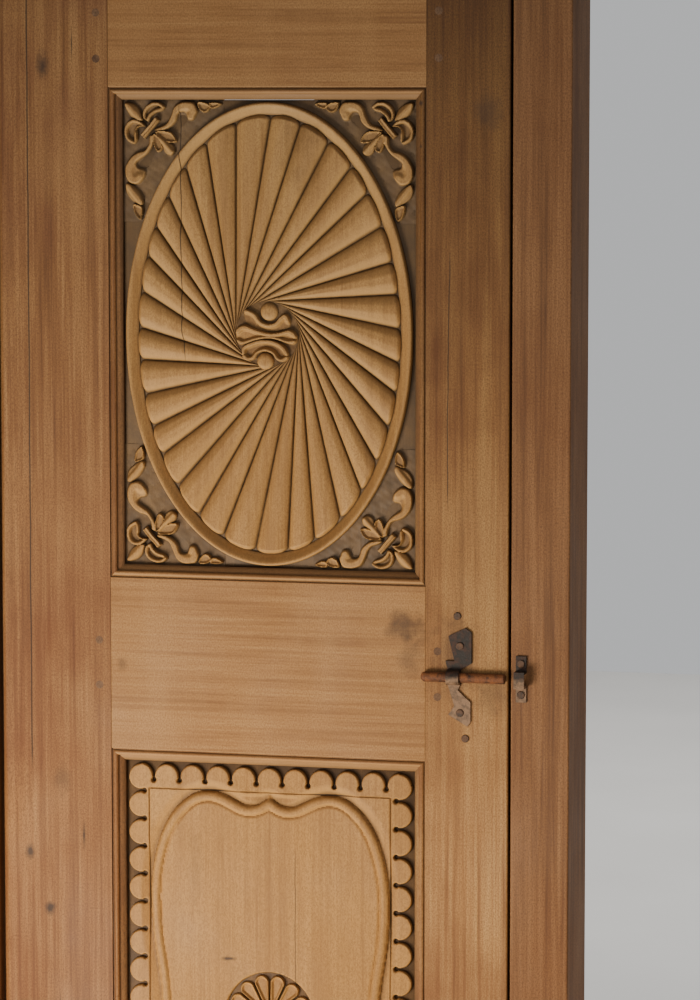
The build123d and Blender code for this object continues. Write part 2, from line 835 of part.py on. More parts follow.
def rosette():
    """Rosette of looped petals, parted by narrow gaps, round a domed boss."""
    foot = -field_depth - rosette_recess - 1
    rise = -petal_crest - foot
    petal = Pos(0, 0, foot) * petal_solid(rise)
    flower = Pos(0, 0, foot) * dome(boss_r, rise + boss_rise)
    for i in range(petals):
        flower += Rot(0, 0, 360 * (i + 0.5) / petals) * petal
    return flower


def petal_solid(rise):
    """One looped petal with its hollow, pointing along +Y; its root is under the boss."""
    taper = sin(pi / petals)
    tip = (rosette_r + petal_gap / 2) / (1 + taper)
    tip_r = rosette_r - tip
    body = petal_outline(tip, tip_r, petal_root, petal_root * taper - petal_gap / 2)
    cup_root = boss_r + petal_wall
    cup_w = cup_root * taper - petal_gap / 2 - petal_wall / 2
    cup = petal_outline(tip, tip_r - petal_wall, cup_root, cup_w)
    return extrude(body, rise) - Pos(0, 0, rise - petal_cup) * extrude(cup, petal_cup + 1)


def petal_outline(tip, tip_r, root, half_w):
    """Drop shape from a round tip to a straight root."""
    foot = Edge.make_line((-half_w, root), (half_w, root))
    return make_hull([foot] + (Pos(0, tip) * Circle(tip_r)).edges())


# Ironwork


def nail(x, z, stand):
    """Nail driven into the leaf, its head standing off the face by a given amount."""
    shank = round_bar(x, -stand, z, nail_d / 2, nail_l, (0, 1, 0))
    head = round_bar(x, -stand - nail_head_h, z, nail_head_d / 2, nail_head_h + 0.4, (0, 1, 0))
    rim = head.edges().filter_by(GeomType.CIRCLE).sort_by(Axis.Y)[0]
    return shank + chamfer(rim, nail_head_h * 0.45)


def strap_nail_places():
    """Nails through the strap's two leaves."""
    x = loop_x + strap_nail_dx
    return [(x, bolt_z + strap_nail_up), (x, bolt_z - strap_nail_down)]


def old_nail_places():
    """Nails left in the stile above and below the strap."""
    return [(loop_x + dx, bolt_z + dz) for dx, dz in (old_nail_right, old_nail_left)]


def make_bolt():
    """Round sliding bar with a domed left end and an eased right end."""
    bar = round_bar(bolt_x1 - bolt_l, bolt_y, bolt_z, bolt_d / 2, bolt_l, (1, 0, 0))
    ends = bar.edges().filter_by(GeomType.CIRCLE).sort_by(Axis.X)
    bar = fillet(ends[0], bolt_d * 0.42)
    far = bar.edges().filter_by(GeomType.CIRCLE).sort_by(Axis.X)[-1]
    return chamfer(far, 1.0)


def make_strap():
    """Forged strap: upper leaf, neck, loop over the bar and a spade-shaped lower leaf."""
    plane = front_plane(loop_x, 0, bolt_z)
    foot = loop_foot()
    side = loop_w / 2
    upper = Polygon((side, foot), (-side, foot), *upper_leaf, align=None)
    lower = Polygon((side, -foot), *lower_leaf, (-side, -foot), align=None)
    leaves = raised(upper, plane, strap_t) + raised(lower, plane, strap_t)
    return leaves + loop_over_bar()


def loop_foot():
    """Height above and below the bar's middle where the loop leaves the face."""
    return bolt_d / 2 + loop_gap + strap_t


def loop_over_bar():
    """Half-round bridge of the strap over the bar."""
    inner = bolt_d / 2 + loop_gap
    outer = inner + strap_t
    side = Plane(origin=(loop_x - loop_w / 2, bolt_y, bolt_z), x_dir=(0, 1, 0), z_dir=(1, 0, 0))
    arch = Circle(outer) + Rectangle(-bolt_y, 2 * outer, align=(Align.MIN, Align.CENTER))
    way = Circle(inner) + Rectangle(-bolt_y, 2 * inner, align=(Align.MIN, Align.CENTER))
    keep = Rectangle(outer - bolt_y, 2 * outer, align=(Align.MIN, Align.CENTER))
    shape = (arch - way) & (Pos(-outer, 0) * keep)
    return extrude(side * shape, loop_w)


def make_keeper():
    """Iron staple on the lock jamb that takes the end of the bar."""
    inner_h = bolt_d / 2 + keeper_gap
    front = bolt_y - bolt_d / 2 - keeper_gap
    side = Plane(origin=(keeper_x0, 0, bolt_z), x_dir=(0, -1, 0), z_dir=(-1, 0, 0))
    arch = Rectangle(-front + keeper_t, 2 * (inner_h + keeper_t), align=(Align.MIN, Align.CENTER))
    arch -= Rectangle(-front, 2 * inner_h, align=(Align.MIN, Align.CENTER))
    feet = Rectangle(keeper_t, 2 * (inner_h + keeper_t + keeper_foot), align=(Align.MIN, Align.CENTER))
    feet -= Rectangle(keeper_t, 2 * inner_h, align=(Align.MIN, Align.CENTER))
    staple = extrude(side * (arch + feet), -keeper_w)
    return staple - [nail(x, z, keeper_t) for x, z in keeper_nail_places()]


def keeper_nail_places():
    """One nail through each foot of the keeper."""
    x = keeper_x0 + keeper_w / 2
    reach = bolt_d / 2 + keeper_gap + keeper_t + keeper_foot / 2
    return [(x, bolt_z + reach), (x, bolt_z - reach)]


def nails_at(places, stand):
    """Group of nails."""
    return Compound(children=[nail(x, z, stand) for x, z in places])


def build():
    """Every piece of the door, by node name."""
    right = jamb(1) - nails_at(keeper_nail_places(), keeper_t)
    strap_nails = nails_at(strap_nail_places(), strap_t)
    top_span, lock_span, bottom_span = rail_tenon_spans()
    return {
        "jamb_left": jamb(-1),
        "jamb_right": right,
        "head": make_head(),
        "threshold": make_threshold(),
        "frame_pegs": make_frame_pegs(),
        "bolt_keeper": make_keeper(),
        "keeper_nails": nails_at(keeper_nail_places(), keeper_t),
        "hinge_stile": make_hinge_stile(),
        "lock_stile": make_lock_stile(),
        "top_rail": make_rail(upper_z1, leaf_z1, top_span, [edge_above(upper_z1)]),
        "lock_rail": make_rail(lower_z1, upper_z0, lock_span, [edge_below(upper_z0), edge_above(lower_z1)]),
        "bottom_rail": make_rail(leaf_z0, lower_z0, bottom_span, [edge_below(lower_z0)]),
        "upper_panel": make_upper_panel(),
        "lower_panel": make_lower_panel(),
        "leaf_pegs": Compound(children=leaf_peg_solids()),
        "bolt_strap": make_strap() - strap_nails,
        "strap_nails": strap_nails,
        "old_nails": nails_at(old_nail_places(), 0),
        "slide_bolt": make_bolt(),
    }


os.makedirs("parts", exist_ok=True)
for node, solid in build().items():
    export_step(solid, f"parts/{node}.step")
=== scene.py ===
import logging
import math
from dataclasses import dataclass, field, replace
from enum import Enum
from typing import Callable, Optional

import bmesh
import bpy
import numpy as np
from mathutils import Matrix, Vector


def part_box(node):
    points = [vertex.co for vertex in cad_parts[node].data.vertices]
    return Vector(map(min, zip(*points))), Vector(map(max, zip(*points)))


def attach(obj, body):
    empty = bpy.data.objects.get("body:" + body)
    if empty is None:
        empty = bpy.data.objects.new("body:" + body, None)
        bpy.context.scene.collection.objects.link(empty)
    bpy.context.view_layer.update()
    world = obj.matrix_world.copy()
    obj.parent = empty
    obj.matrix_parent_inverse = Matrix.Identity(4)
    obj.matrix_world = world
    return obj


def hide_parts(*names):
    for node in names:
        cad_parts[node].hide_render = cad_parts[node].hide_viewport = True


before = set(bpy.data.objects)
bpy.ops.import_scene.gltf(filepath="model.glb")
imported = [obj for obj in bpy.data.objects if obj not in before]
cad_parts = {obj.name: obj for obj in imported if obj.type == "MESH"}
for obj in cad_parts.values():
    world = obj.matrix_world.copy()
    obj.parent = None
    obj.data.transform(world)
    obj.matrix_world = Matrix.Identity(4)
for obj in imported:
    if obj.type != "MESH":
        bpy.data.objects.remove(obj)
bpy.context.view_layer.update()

LOG = logging.getLogger("carved_door")
MM = 0.001
Array = np.ndarray
DepthRule = Callable[[Array, Array], Array]
Triple = tuple[float, float, float]
Colour = Triple
Point = tuple[float, float]
Line = tuple[Point, ...]
Mark = tuple[float, float, float, float, float]
Socket = bpy.types.NodeSocket
Feeds = dict[str | int, Socket | float | Triple]


class Grain(Enum):
    """Direction in which a timber's fibres run."""

    UPRIGHT = "upright"
    ACROSS = "across"
    DEPTH = "depth"


# Shaping helpers: all lengths are millimetres, depths are measured back from the leaf's face


def ease(low: float, high: float, value: Array) -> Array:
    """Smooth step from 0 to 1.

    Args:
        low: value where the step starts.
        high: value where the step ends.
        value: array of values.

    Returns:
        The eased array.
    """
    t = np.clip((value - low) / (high - low), 0.0, 1.0)
    return t * t * (3.0 - 2.0 * t)


def rounded(points: Line, closed: bool, steps: int = 6) -> Array:
    """Smooth curve through given points (Catmull-Rom).

    Args:
        points: the points that the curve passes through.
        closed: whether the curve closes on itself.
        steps: divisions between two points.

    Returns:
        An array of points on the curve.
    """
    p = np.array(points, float)
    if closed:
        p = np.vstack([p[-1], p, p[0], p[1]])
    else:
        p = np.vstack([2 * p[0] - p[1], p, 2 * p[-1] - p[-2]])
    out = []
    for i in range(1, len(p) - 2):
        for t in np.arange(steps) / steps:
            out.append(0.5 * (
                2 * p[i] + (p[i + 1] - p[i - 1]) * t
                + (2 * p[i - 1] - 5 * p[i] + 4 * p[i + 1] - p[i + 2]) * t * t
                + (3 * p[i] - p[i - 1] - 3 * p[i + 1] + p[i + 2]) * t ** 3
            ))
    if not closed:
        out.append(p[-2])
    return np.array(out)


def to_line(x: Array, z: Array, line: Array, widths: Optional[Array] = None) -> tuple[Array, Array, Array]:
    """Distance from each point to a chain of straight pieces.

    Args:
        x: across positions.
        z: upright positions.
        line: the chain's points.
        widths: a width for each point of the chain, or None.

    Returns:
        The distance, the width at the nearest place, and the side (positive on the left of the chain).
    """
    best = np.full(x.shape, 1e9)
    wide = np.zeros(x.shape)
    side = np.ones(x.shape)
    for i in range(len(line) - 1):
        a, b = line[i], line[i + 1]
        ab = b - a
        t = np.clip(((x - a[0]) * ab[0] + (z - a[1]) * ab[1]) / max(ab @ ab, 1e-9), 0.0, 1.0)
        dx = x - a[0] - t * ab[0]
        dz = z - a[1] - t * ab[1]
        d = np.hypot(dx, dz)
        near = d < best
        best = np.where(near, d, best)
        side = np.where(near, np.sign(ab[0] * dz - ab[1] * dx), side)
        if widths is not None:
            wide = np.where(near, widths[i] + (widths[i + 1] - widths[i]) * t, wide)
    return best, wide, side


def inside(x: Array, z: Array, outline: Array) -> Array:
    """Signed distance to a closed outline, positive inside.

    Args:
        x: across positions.
        z: upright positions.
        outline: points of the closed outline.

    Returns:
        The signed distances.
    """
    loop = np.vstack([outline, outline[:1]])
    d, _, _ = to_line(x, z, loop)
    odd = np.zeros(x.shape, bool)
    for a, b in zip(loop[:-1], loop[1:]):
        crosses = (a[1] > z) != (b[1] > z)
        at = a[0] + (z - a[1]) * (b[0] - a[0]) / np.where(b[1] == a[1], 1e-9, b[1] - a[1])
        odd ^= crosses & (x < at)
    return np.where(odd, d, -d)


def wobble(x: Array, z: Array, scale: float, seed: float) -> Array:
    """Gentle hand-cut unevenness between -1 and 1, from a few crossed waves.

    Args:
        x: across positions.
        z: upright positions.
        scale: rough size of the unevenness.
        seed: shifts the pattern.

    Returns:
        The uneven field.
    """
    a = x / scale
    b = z / scale
    return (
        np.sin(a * 1.7 + b * 0.6 + seed) + np.sin(b * 2.3 - a * 0.9 + 2.1 * seed)
        + np.sin(a * 3.1 + 1.3 * b + 0.7 * seed) * 0.6 + np.sin(b * 4.3 + a * 2.9 + seed) * 0.4
    ) / 3.0


def finish_mesh(name: str, bm: bmesh.types.BMesh, sharp: float = 50.0,
                smooth: bool = True) -> bpy.types.Object:
    """Object from a finished bmesh, smooth apart from its sharp edges.

    Args:
        name: name of the piece.
        bm: the mesh being built; it is freed.
        sharp: angle in degrees above which an edge stays sharp.
        smooth: whether every face is shaded smooth, or each as it is marked.

    Returns:
        The new object, linked to the scene.
    """
    mesh = bpy.data.meshes.new(name)
    bm.to_mesh(mesh)
    bm.free()
    # normals stored with a copied piece no longer fit its new faces
    old_normals = mesh.attributes.get("custom_normal")
    if old_normals:
        mesh.attributes.remove(old_normals)
    flags = np.ones(len(mesh.polygons), bool)
    if not smooth:
        mesh.polygons.foreach_get("use_smooth", flags)
    mesh.set_sharp_from_angle(angle=math.radians(sharp))
    mesh.polygons.foreach_set("use_smooth", flags)
    obj = bpy.data.objects.new(name, mesh)
    bpy.context.scene.collection.objects.link(obj)
    return obj


def points_of(bm: bmesh.types.BMesh) -> Array:
    """Points of a bmesh as an array."""
    return np.array([v.co for v in bm.verts])


def place_points(bm: bmesh.types.BMesh, points: Array) -> None:
    """Moves every point of a bmesh to its row in an array."""
    for vert, point in zip(bm.verts, points):
        vert.co = point


def close_back(bm: bmesh.types.BMesh, back: float) -> None:
    """Carries the border of a sheet straight back and fills it, so that the piece is closed.

    Args:
        bm: the mesh being built.
        back: depth of the new back in metres.
    """
    border = [e for e in bm.edges if e.is_boundary]
    walls = bmesh.ops.extrude_edge_only(bm, edges=border)["geom"]
    for item in walls:
        if isinstance(item, bmesh.types.BMVert):
            item.co.y = back
    rim = [e for e in walls if isinstance(e, bmesh.types.BMEdge) and e.is_boundary]
    bmesh.ops.holes_fill(bm, edges=rim, sides=0)
    bmesh.ops.recalc_face_normals(bm, faces=bm.faces)


@dataclass
class Sheet:
    """Dense sheet parallel to the leaf's face, pushed back to the carved depth."""

    name: str
    x0: float
    x1: float
    z0: float
    z1: float
    pitch: float
    back: float

    def build(self, centre: Vector, rule: DepthRule, keep: Optional[DepthRule] = None) -> bpy.types.Object:
        """Makes the carved sheet as a closed piece.

        Args:
            centre: middle of the panel, in metres.
            rule: gives the depth at each place, in millimetres.
            keep: positive where the sheet stays, or None for all of it.

        Returns:
            The finished object.
        """
        columns = round((self.x1 - self.x0) / self.pitch)
        rows = round((self.z1 - self.z0) / self.pitch)
        bm = bmesh.new()
        bmesh.ops.create_grid(bm, x_segments=columns, y_segments=rows, size=0.5)
        flat = points_of(bm)
        x = self.x0 + (flat[:, 0] + 0.5) * (self.x1 - self.x0)
        z = self.z0 + (flat[:, 1] + 0.5) * (self.z1 - self.z0)
        depth = rule(x, z)
        place_points(bm, np.column_stack([centre.x + x * MM, depth * MM, centre.z + z * MM]))
        if keep is not None:
            stays = keep(x, z) > 0
            bm.verts.index_update()
            gone = [f for f in bm.faces if not any(stays[v.index] for v in f.verts)]
            bmesh.ops.delete(bm, geom=gone, context="FACES")
        close_back(bm, self.back * MM)
        return finish_mesh(self.name, bm)


# Materials


@dataclass(frozen=True)
class WoodFinish:
    """Worn, unpainted hardwood. Stains and cracks are given by place and size in metres."""

    name: str
    slot: str
    grain: Grain
    dark: Colour
    middle: Colour
    light: Colour
    # colour that the wood darkens to with depth below the face, between the next two depths: grime and
    # painted shade in recesses
    grime_and_shade: Colour
    grime_and_shade_from: float = 0.008
    grime_and_shade_to: float = 0.016
    grime_and_shade_share: float = 0.75
    streak: float = 1.0
    red: float = 0.0
    bands: float = 0.5
    # multiplier reached at the top of the door: painted shade and tint for light from below
    top_shade_tint: Colour = (0.66, 0.7, 0.78)
    shade_reach: float = 0.0045
    roughness: float = 0.62
    bump: float = 0.35
    corner_shade: float = 0.8
    stains: tuple[Mark, ...] = ()
    cracks: tuple[Mark, ...] = ()


@dataclass(frozen=True)
class IronFinish:
    """Forged iron with rust."""

    name: str
    slot: str
    iron: Colour
    rust: Colour
    rust_share: float
    roughness: float
    dust: Colour = (0.3, 0.2, 0.12)
    dust_to: float = 0.0


class NodeSheet:
    """Small helper that adds shader nodes and feeds their inputs."""

    def __init__(self, name: str) -> None:
        """Starts an empty material with one shader.

        Args:
            name: name of the material.
        """
        self.material = bpy.data.materials.new(name)
        self.material.use_nodes = True
        self.tree = self.material.node_tree
        self.tree.nodes.clear()
        self.shader = self.add("ShaderNodeBsdfPrincipled", {})
        self.add("ShaderNodeOutputMaterial", {"Surface": self.shader.outputs["BSDF"]})
        places = self.add("ShaderNodeTexCoord", {})
        self.coordinates = places.outputs["Object"]
        self.facing = places.outputs["Normal"]

    def add(self, kind: str, feeds: Feeds, **values: str | int | bool) -> bpy.types.Node:
        """Adds a node, sets its properties and feeds its inputs.

        Args:
            kind: type of the node.
            feeds: what goes into its inputs, by their names or numbers.
            values: properties by name.

        Returns:
            The node.
        """
        node = self.tree.nodes.new(kind)
        for key, value in values.items():
            setattr(node, key, value)
        self.feed(node, feeds)
        return node

    def feed(self, node: bpy.types.Node, feeds: Feeds) -> None:
        """Feeds inputs of a node.

        Args:
            node: the node.
            feeds: a socket to be linked, or a number, vector or colour, for each input.
        """
        for key, value in feeds.items():
            entry = node.inputs[key]
            if isinstance(value, Socket):
                self.tree.links.new(value, entry)
            else:
                entry.default_value = (*value, 1.0) if entry.type == "RGBA" else value

    def axes(self, vector: Socket) -> bpy.types.NodeOutputs:
        """The three parts of a vector, by the names X, Y and Z."""
        return self.add("ShaderNodeSeparateXYZ", {0: vector}).outputs

    def place(self, scale: Triple, move: Triple = (0, 0, 0)) -> Socket:
        """Object coordinates, scaled along each axis and then moved."""
        feeds = {"Vector": self.coordinates, "Scale": scale, "Location": move}
        return self.add("ShaderNodeMapping", feeds).outputs["Vector"]

    def noise(self, scale: Triple, detail: float = 4.0, rough: float = 0.55, bend: float = 0.0,
              move: Triple = (0, 0, 0)) -> Socket:
        """Noise value between 0 and 1.

        Args:
            scale: how fine it is along each axis.
            detail: number of finer layers.
            rough: weight of the finer layers.
            bend: how far it is distorted.
            move: shift of the pattern.

        Returns:
            The value.
        """
        feeds = {"Scale": 1.0, "Detail": detail, "Roughness": rough, "Distortion": bend}
        return self.add("ShaderNodeTexNoise", {"Vector": self.place(scale, move), **feeds}).outputs["Fac"]

    def ranged(self, value: Socket, low: float, high: float, start: float = 0.0,
               end: float = 1.0) -> Socket:
        """Clamped change of range.

        Args:
            value: the value to change.
            low: value that becomes the start.
            high: value that becomes the end.
            start: result at the low value.
            end: result at the high value.

        Returns:
            The changed value.
        """
        feeds = {"Value": value, "From Min": low, "From Max": high, "To Min": start, "To Max": end}
        return self.add("ShaderNodeMapRange", feeds, clamp=True).outputs["Result"]

    def corners(self, reach: float, full: float, none: float, share: float) -> Socket:
        """Share of painted shade in inner corners, from ambient occlusion.

        Args:
            reach: how far the painted shade reaches out of a corner, in metres.
            full: openness at which the share is whole.
            none: openness at which it ends.
            share: the greatest share.

        Returns:
            The share at each place.
        """
        openness = self.add("ShaderNodeAmbientOcclusion", {"Distance": reach}, samples=6).outputs["AO"]
        return self.ranged(openness, full, none, share, 0.0)

    def maths(self, kind: str, first: Socket, second: Socket | float) -> Socket:
        """One sum of a socket with a socket or a number."""
        return self.add("ShaderNodeMath", {0: first, 1: second}, operation=kind).outputs["Value"]

    def ramp(self, value: Socket, stops: list[tuple[float, Colour]]) -> Socket:
        """Colour ramp through the given stops.

        Args:
            value: what the colour follows, from 0 to 1.
            stops: places and their colours.

        Returns:
            The colour.
        """
        node = self.add("ShaderNodeValToRGB", {"Fac": value})
        ramp = node.color_ramp
        while len(ramp.elements) < len(stops):
            ramp.elements.new(0.5)
        for element, (place, colour) in zip(ramp.elements, stops):
            element.position = place
            element.color = (*colour, 1.0)
        return node.outputs["Color"]

    def mix(self, share: Socket | float, first: Socket | Colour, second: Socket | Colour,
            kind: str = "MIX") -> Socket:
        """Mix of two colours.

        Args:
            share: share of the second.
            first: colour underneath.
            second: colour on top.
            kind: how they blend.

        Returns:
            The mixed colour.
        """
        feeds = {0: share, 6: first, 7: second}
        return self.add("ShaderNodeMix", feeds, data_type="RGBA", blend_type=kind).outputs[2]

    def bumps(self, height: Socket, strength: float, distance: float,
              below: Optional[Socket] = None) -> Socket:
        """Bump from a height.

        Args:
            height: the height.
            strength: strength of the bump.
            distance: its depth in metres.
            below: a bump that it lies on, or None.

        Returns:
            The bent normal.
        """
        under = {} if below is None else {"Normal": below}
        feeds = {"Height": height, "Strength": strength, "Distance": distance, **under}
        return self.add("ShaderNodeBump", feeds).outputs["Normal"]

    def spot(self, x: float, z: float, half_w: float, half_h: float) -> Socket:
        """Soft round patch on the leaf's face, 1 in its middle.

        Args:
            x: its place across, in metres.
            z: its height in metres.
            half_w: half its width.
            half_h: half its height.

        Returns:
            The share at each place.
        """
        vector = self.place((1.0 / half_w, 5.0, 1.0 / half_h), (-x / half_w, 0.0, -z / half_h))
        length = self.add("ShaderNodeVectorMath", {0: vector}, operation="LENGTH").outputs["Value"]
        uneven = self.ranged(self.noise((60.0, 60.0, 60.0), 3.0), 0.3, 0.7, -0.35, 0.35)
        return self.ranged(self.maths("ADD", length, uneven), 0.25, 1.1, 1.0, 0.0)

    def crack(self, x: float, low: float, high: float, half_w: float, sway: float) -> Socket:
        """Thin upright split, 1 along its line.

        Args:
            x: its place across, in metres.
            low: height of its foot.
            high: height of its top.
            half_w: half its width.
            sway: how far it strays from upright.

        Returns:
            The share at each place.
        """
        fade = 0.02
        parts = self.axes(self.coordinates)
        waves = self.noise((0.0, 0.0, 7.0), move=(x * 90, 0, 0))
        drift = self.ranged(waves, 0.2, 0.8, -sway, sway)
        off = self.maths("ADD", self.maths("SUBTRACT", parts["X"], x), drift)
        line = self.ranged(self.maths("ABSOLUTE", off, 0.0), half_w * 0.35, half_w, 1.0, 0.0)
        foot = self.ranged(parts["Z"], low, low + fade)
        top = self.ranged(parts["Z"], high - fade, high, 1.0, 0.0)
        return self.maths("MULTIPLY", line, self.maths("MULTIPLY", foot, top))


# How far streaks, bands and pores are drawn out along each grain
FIBRES = {
    Grain.UPRIGHT: ((260.0, 90.0, 5.0), (70.0, 30.0, 1.6), (900.0, 300.0, 26.0)),
    Grain.ACROSS: ((5.0, 90.0, 260.0), (1.6, 30.0, 70.0), (26.0, 300.0, 900.0)),
    Grain.DEPTH: ((160.0, 8.0, 160.0), (50.0, 3.0, 50.0), (500.0, 30.0, 500.0)),
}


class WoodSheet(NodeSheet):
    """Shader of one wood finish."""

    red_tone: Colour = (0.19, 0.062, 0.026)
    # colour of the painted shade in inner corners
    corner_shade_tone: Colour = (0.045, 0.028, 0.016)
    stain_tone: Colour = (0.05, 0.026, 0.014)
    crack_tone: Colour = (0.03, 0.017, 0.009)
    crack_share: float = 0.85
    foot_z: float = 0.75
    top_z: float = 1.8

    def __init__(self, finish: WoodFinish) -> None:
        """Lays out every layer of a finish, from the grain to the surface.

        Args:
            finish: the finish to be made.
        """
        super().__init__(finish.name)
        self.finish = finish
        streaks, bands, pores = FIBRES[finish.grain]
        self.streaks = self.noise(streaks, 5.0, 0.62, 0.35)
        self.bands = self.noise(bands, 3.0, 0.5, 0.8)
        self.pores = self.noise(pores, 2.0, 0.7)
        self.patches = self.noise((6.0, 6.0, 4.0), 4.0, 0.6)
        self.at = self.axes(self.coordinates)
        colour = self.grain()
        for layer in (self.facing_shade_and_dust, self.height, self.recess_grime_and_shade, self.marks):
            colour = layer(colour)
        self.feed(self.shader, {"Base Color": colour})
        self.surface()

    def grain(self) -> Socket:
        """Streaks, bands, pores and specks of the bare wood.

        Returns:
            Its colour.
        """
        finish = self.finish
        fine = self.ranged(self.streaks, 0.3, 0.7, 0.0, 0.5 * finish.streak)
        broad = self.ranged(self.bands, 0.3, 0.7, 0.25 - finish.bands / 2, 0.25 + finish.bands / 2)
        tone = self.maths("ADD", fine, broad)
        colour = self.ramp(tone, [(0.05, finish.dark), (0.45, finish.middle), (0.85, finish.light)])
        if finish.red > 0:
            red_share = self.ranged(self.patches, 0.48, 0.66, 0.0, finish.red)
            colour = self.mix(red_share, colour, self.red_tone)
        pale = self.noise((13.0, 9.0, 4.0), 6.0, move=(3, 5, 7))
        colour = self.mix(self.ranged(pale, 0.46, 0.72, 0.0, 0.6), colour, finish.light)
        colour = self.mix(self.ranged(self.pores, 0.28, 0.42, 0.45, 0.0), colour, finish.dark)
        specks = self.noise((620.0, 620.0, 420.0), 4.0, 0.75)
        return self.mix(self.ranged(specks, 0.36, 0.58, 0.7, 0.0), colour, finish.dark)

    def facing_shade_and_dust(self, colour: Socket) -> Socket:
        """Dust and painted shade on slopes that face up, and a painted highlight on slopes that face down,
        standing in for light from below.

        Args:
            colour: the colour so far.

        Returns:
            The new colour.
        """
        upward = self.axes(self.facing)["Z"]
        # slopes that face up are darkened: dust, and painted shade for light from below
        dust_and_top_shade = self.ranged(upward, 0.03, 0.42, 0.0, 0.62)
        colour = self.mix(dust_and_top_shade, colour, tuple(0.62 * v for v in self.finish.dark))
        # slopes that face down are paled: a painted highlight for light from below
        underside_highlight = self.ranged(upward, -0.4, -0.05, 0.55, 0.0)
        return self.mix(underside_highlight, colour, tuple(min(1.12 * v, 1.0) for v in self.finish.light))

    def height(self, colour: Socket) -> Socket:
        """Painted shade and tint: the colour is multiplied darker and browner towards the top of the door,
        leaving paler, yellower wood at its foot, for light from below.
        """
        high = self.ranged(self.at["Z"], self.foot_z, self.top_z)
        return self.mix(high, colour, self.finish.top_shade_tint, "MULTIPLY")

    def recess_grime_and_shade(self, colour: Socket) -> Socket:
        """Grime and painted shade that deepen with depth below the face, and painted shade in inner corners.

        Args:
            colour: the colour so far.

        Returns:
            The new colour.
        """
        finish = self.finish
        # darker with depth below the face: grime and painted shade in recesses
        deep = self.ranged(self.at["Y"], finish.grime_and_shade_from, finish.grime_and_shade_to)
        cloudy = self.noise((45.0, 45.0, 45.0), 4.0)
        share = self.maths("MULTIPLY", deep, self.ranged(cloudy, 0.25, 0.7, 0.75, 1.0))
        colour = self.mix(self.maths("MULTIPLY", share, finish.grime_and_shade_share), colour, finish.grime_and_shade)
        # painted shade in inner corners, from ambient occlusion
        shade = self.corners(finish.shade_reach, 0.2, 0.72, finish.corner_shade)
        return self.mix(shade, colour, self.corner_shade_tone)

    def marks(self, colour: Socket) -> Socket:
        """The finish's stains and cracks.

        Args:
            colour: the colour so far.

        Returns:
            The new colour.
        """
        for x, z, half_w, half_h, share in self.finish.stains:
            patch = self.maths("MULTIPLY", self.spot(x, z, half_w, half_h), share)
            colour = self.mix(patch, colour, self.stain_tone)
        for place in self.finish.cracks:
            split = self.maths("MULTIPLY", self.crack(*place), self.crack_share)
            colour = self.mix(split, colour, self.crack_tone)
        return colour

    def surface(self) -> None:
        """Roughness, shine and the feel of the grain."""
        finish = self.finish
        wear = self.ranged(self.patches, 0.3, 0.7, finish.roughness - 0.1, finish.roughness + 0.12)
        low = self.bumps(self.streaks, finish.bump, 0.0009)
        low = self.bumps(self.pores, finish.bump * 0.7, 0.0005, low)
        low = self.bumps(self.noise((55.0, 55.0, 30.0), 3.0), 0.25, 0.002, low)
        self.feed(self.shader, {"Roughness": wear, "Specular IOR Level": 0.32, "Normal": low})


class IronSheet(NodeSheet):
    """Shader of one iron finish."""

    # colour of the painted shade in the metal's corners
    corner_shade_tone: Colour = (0.02, 0.012, 0.008)
    corner_reach: float = 0.004
    dust_fade: float = 0.006

    def __init__(self, finish: IronFinish) -> None:
        """Lays out the metal, its rust, its dust and its surface.

        Args:
            finish: the finish to be made.
        """
        super().__init__(finish.name)
        self.blotch = self.noise((140.0, 140.0, 140.0), 6.0, 0.65)
        self.speck = self.noise((620.0, 620.0, 620.0), 4.0, 0.7)
        self.rusty = self.ranged(self.blotch, 0.62 - finish.rust_share * 0.35, 0.72 - finish.rust_share * 0.2)
        self.feed(self.shader, {"Base Color": self.dust(finish, self.metal(finish))})
        self.surface(finish)

    def metal(self, finish: IronFinish) -> Socket:
        """Forged metal under patches of rust, with painted shade in its corners.

        Args:
            finish: the finish being made.

        Returns:
            Its colour.
        """
        rust = self.ramp(self.speck, [(0.25, tuple(v * 0.5 for v in finish.rust)), (0.7, finish.rust)])
        metal = self.ramp(self.speck, [(0.3, tuple(v * 0.55 for v in finish.iron)), (0.75, finish.iron)])
        colour = self.mix(self.rusty, metal, rust)
        # painted shade in the metal's corners, from ambient occlusion
        return self.mix(self.corners(self.corner_reach, 0.2, 0.8, 0.7), colour, self.corner_shade_tone)

    def dust(self, finish: IronFinish, colour: Socket) -> Socket:
        """Wood dust that lies on the metal below the finish's height.

        Args:
            finish: the finish being made.
            colour: the colour so far.

        Returns:
            The new colour.
        """
        height = self.axes(self.coordinates)["Z"]
        below = self.ranged(height, finish.dust_to - self.dust_fade, finish.dust_to, 0.8, 0.0)
        share = self.maths("MULTIPLY", below, self.ranged(self.blotch, 0.36, 0.56, 0.35, 1.0))
        return self.mix(share, colour, finish.dust)

    def surface(self, finish: IronFinish) -> None:
        """Shine, roughness and pits.

        Args:
            finish: the finish being made.
        """
        metal = self.ranged(self.rusty, 0.0, 1.0, 0.3, 0.0)
        rough = self.ranged(self.blotch, 0.3, 0.7, finish.roughness - 0.08, finish.roughness + 0.15)
        pits = self.bumps(self.blotch, 0.5, 0.001, self.bumps(self.speck, 0.5, 0.0005))
        self.feed(self.shader, {"Metallic": metal, "Roughness": rough, "Normal": pits})


class Workshop:
    """Makes each finish once and hands it out."""

    def __init__(self) -> None:
        """Starts with no materials."""
        self.made: dict[str, bpy.types.Material] = {}

    def finish(self, finish: WoodFinish | IronFinish) -> bpy.types.Material:
        """Material of a wood or iron finish.

        Args:
            finish: the finish wanted.

        Returns:
            The material, made on first use.
        """
        if finish.name not in self.made:
            kind = WoodSheet if isinstance(finish, WoodFinish) else IronSheet
            self.made[finish.name] = kind(finish).material
        return self.made[finish.name]
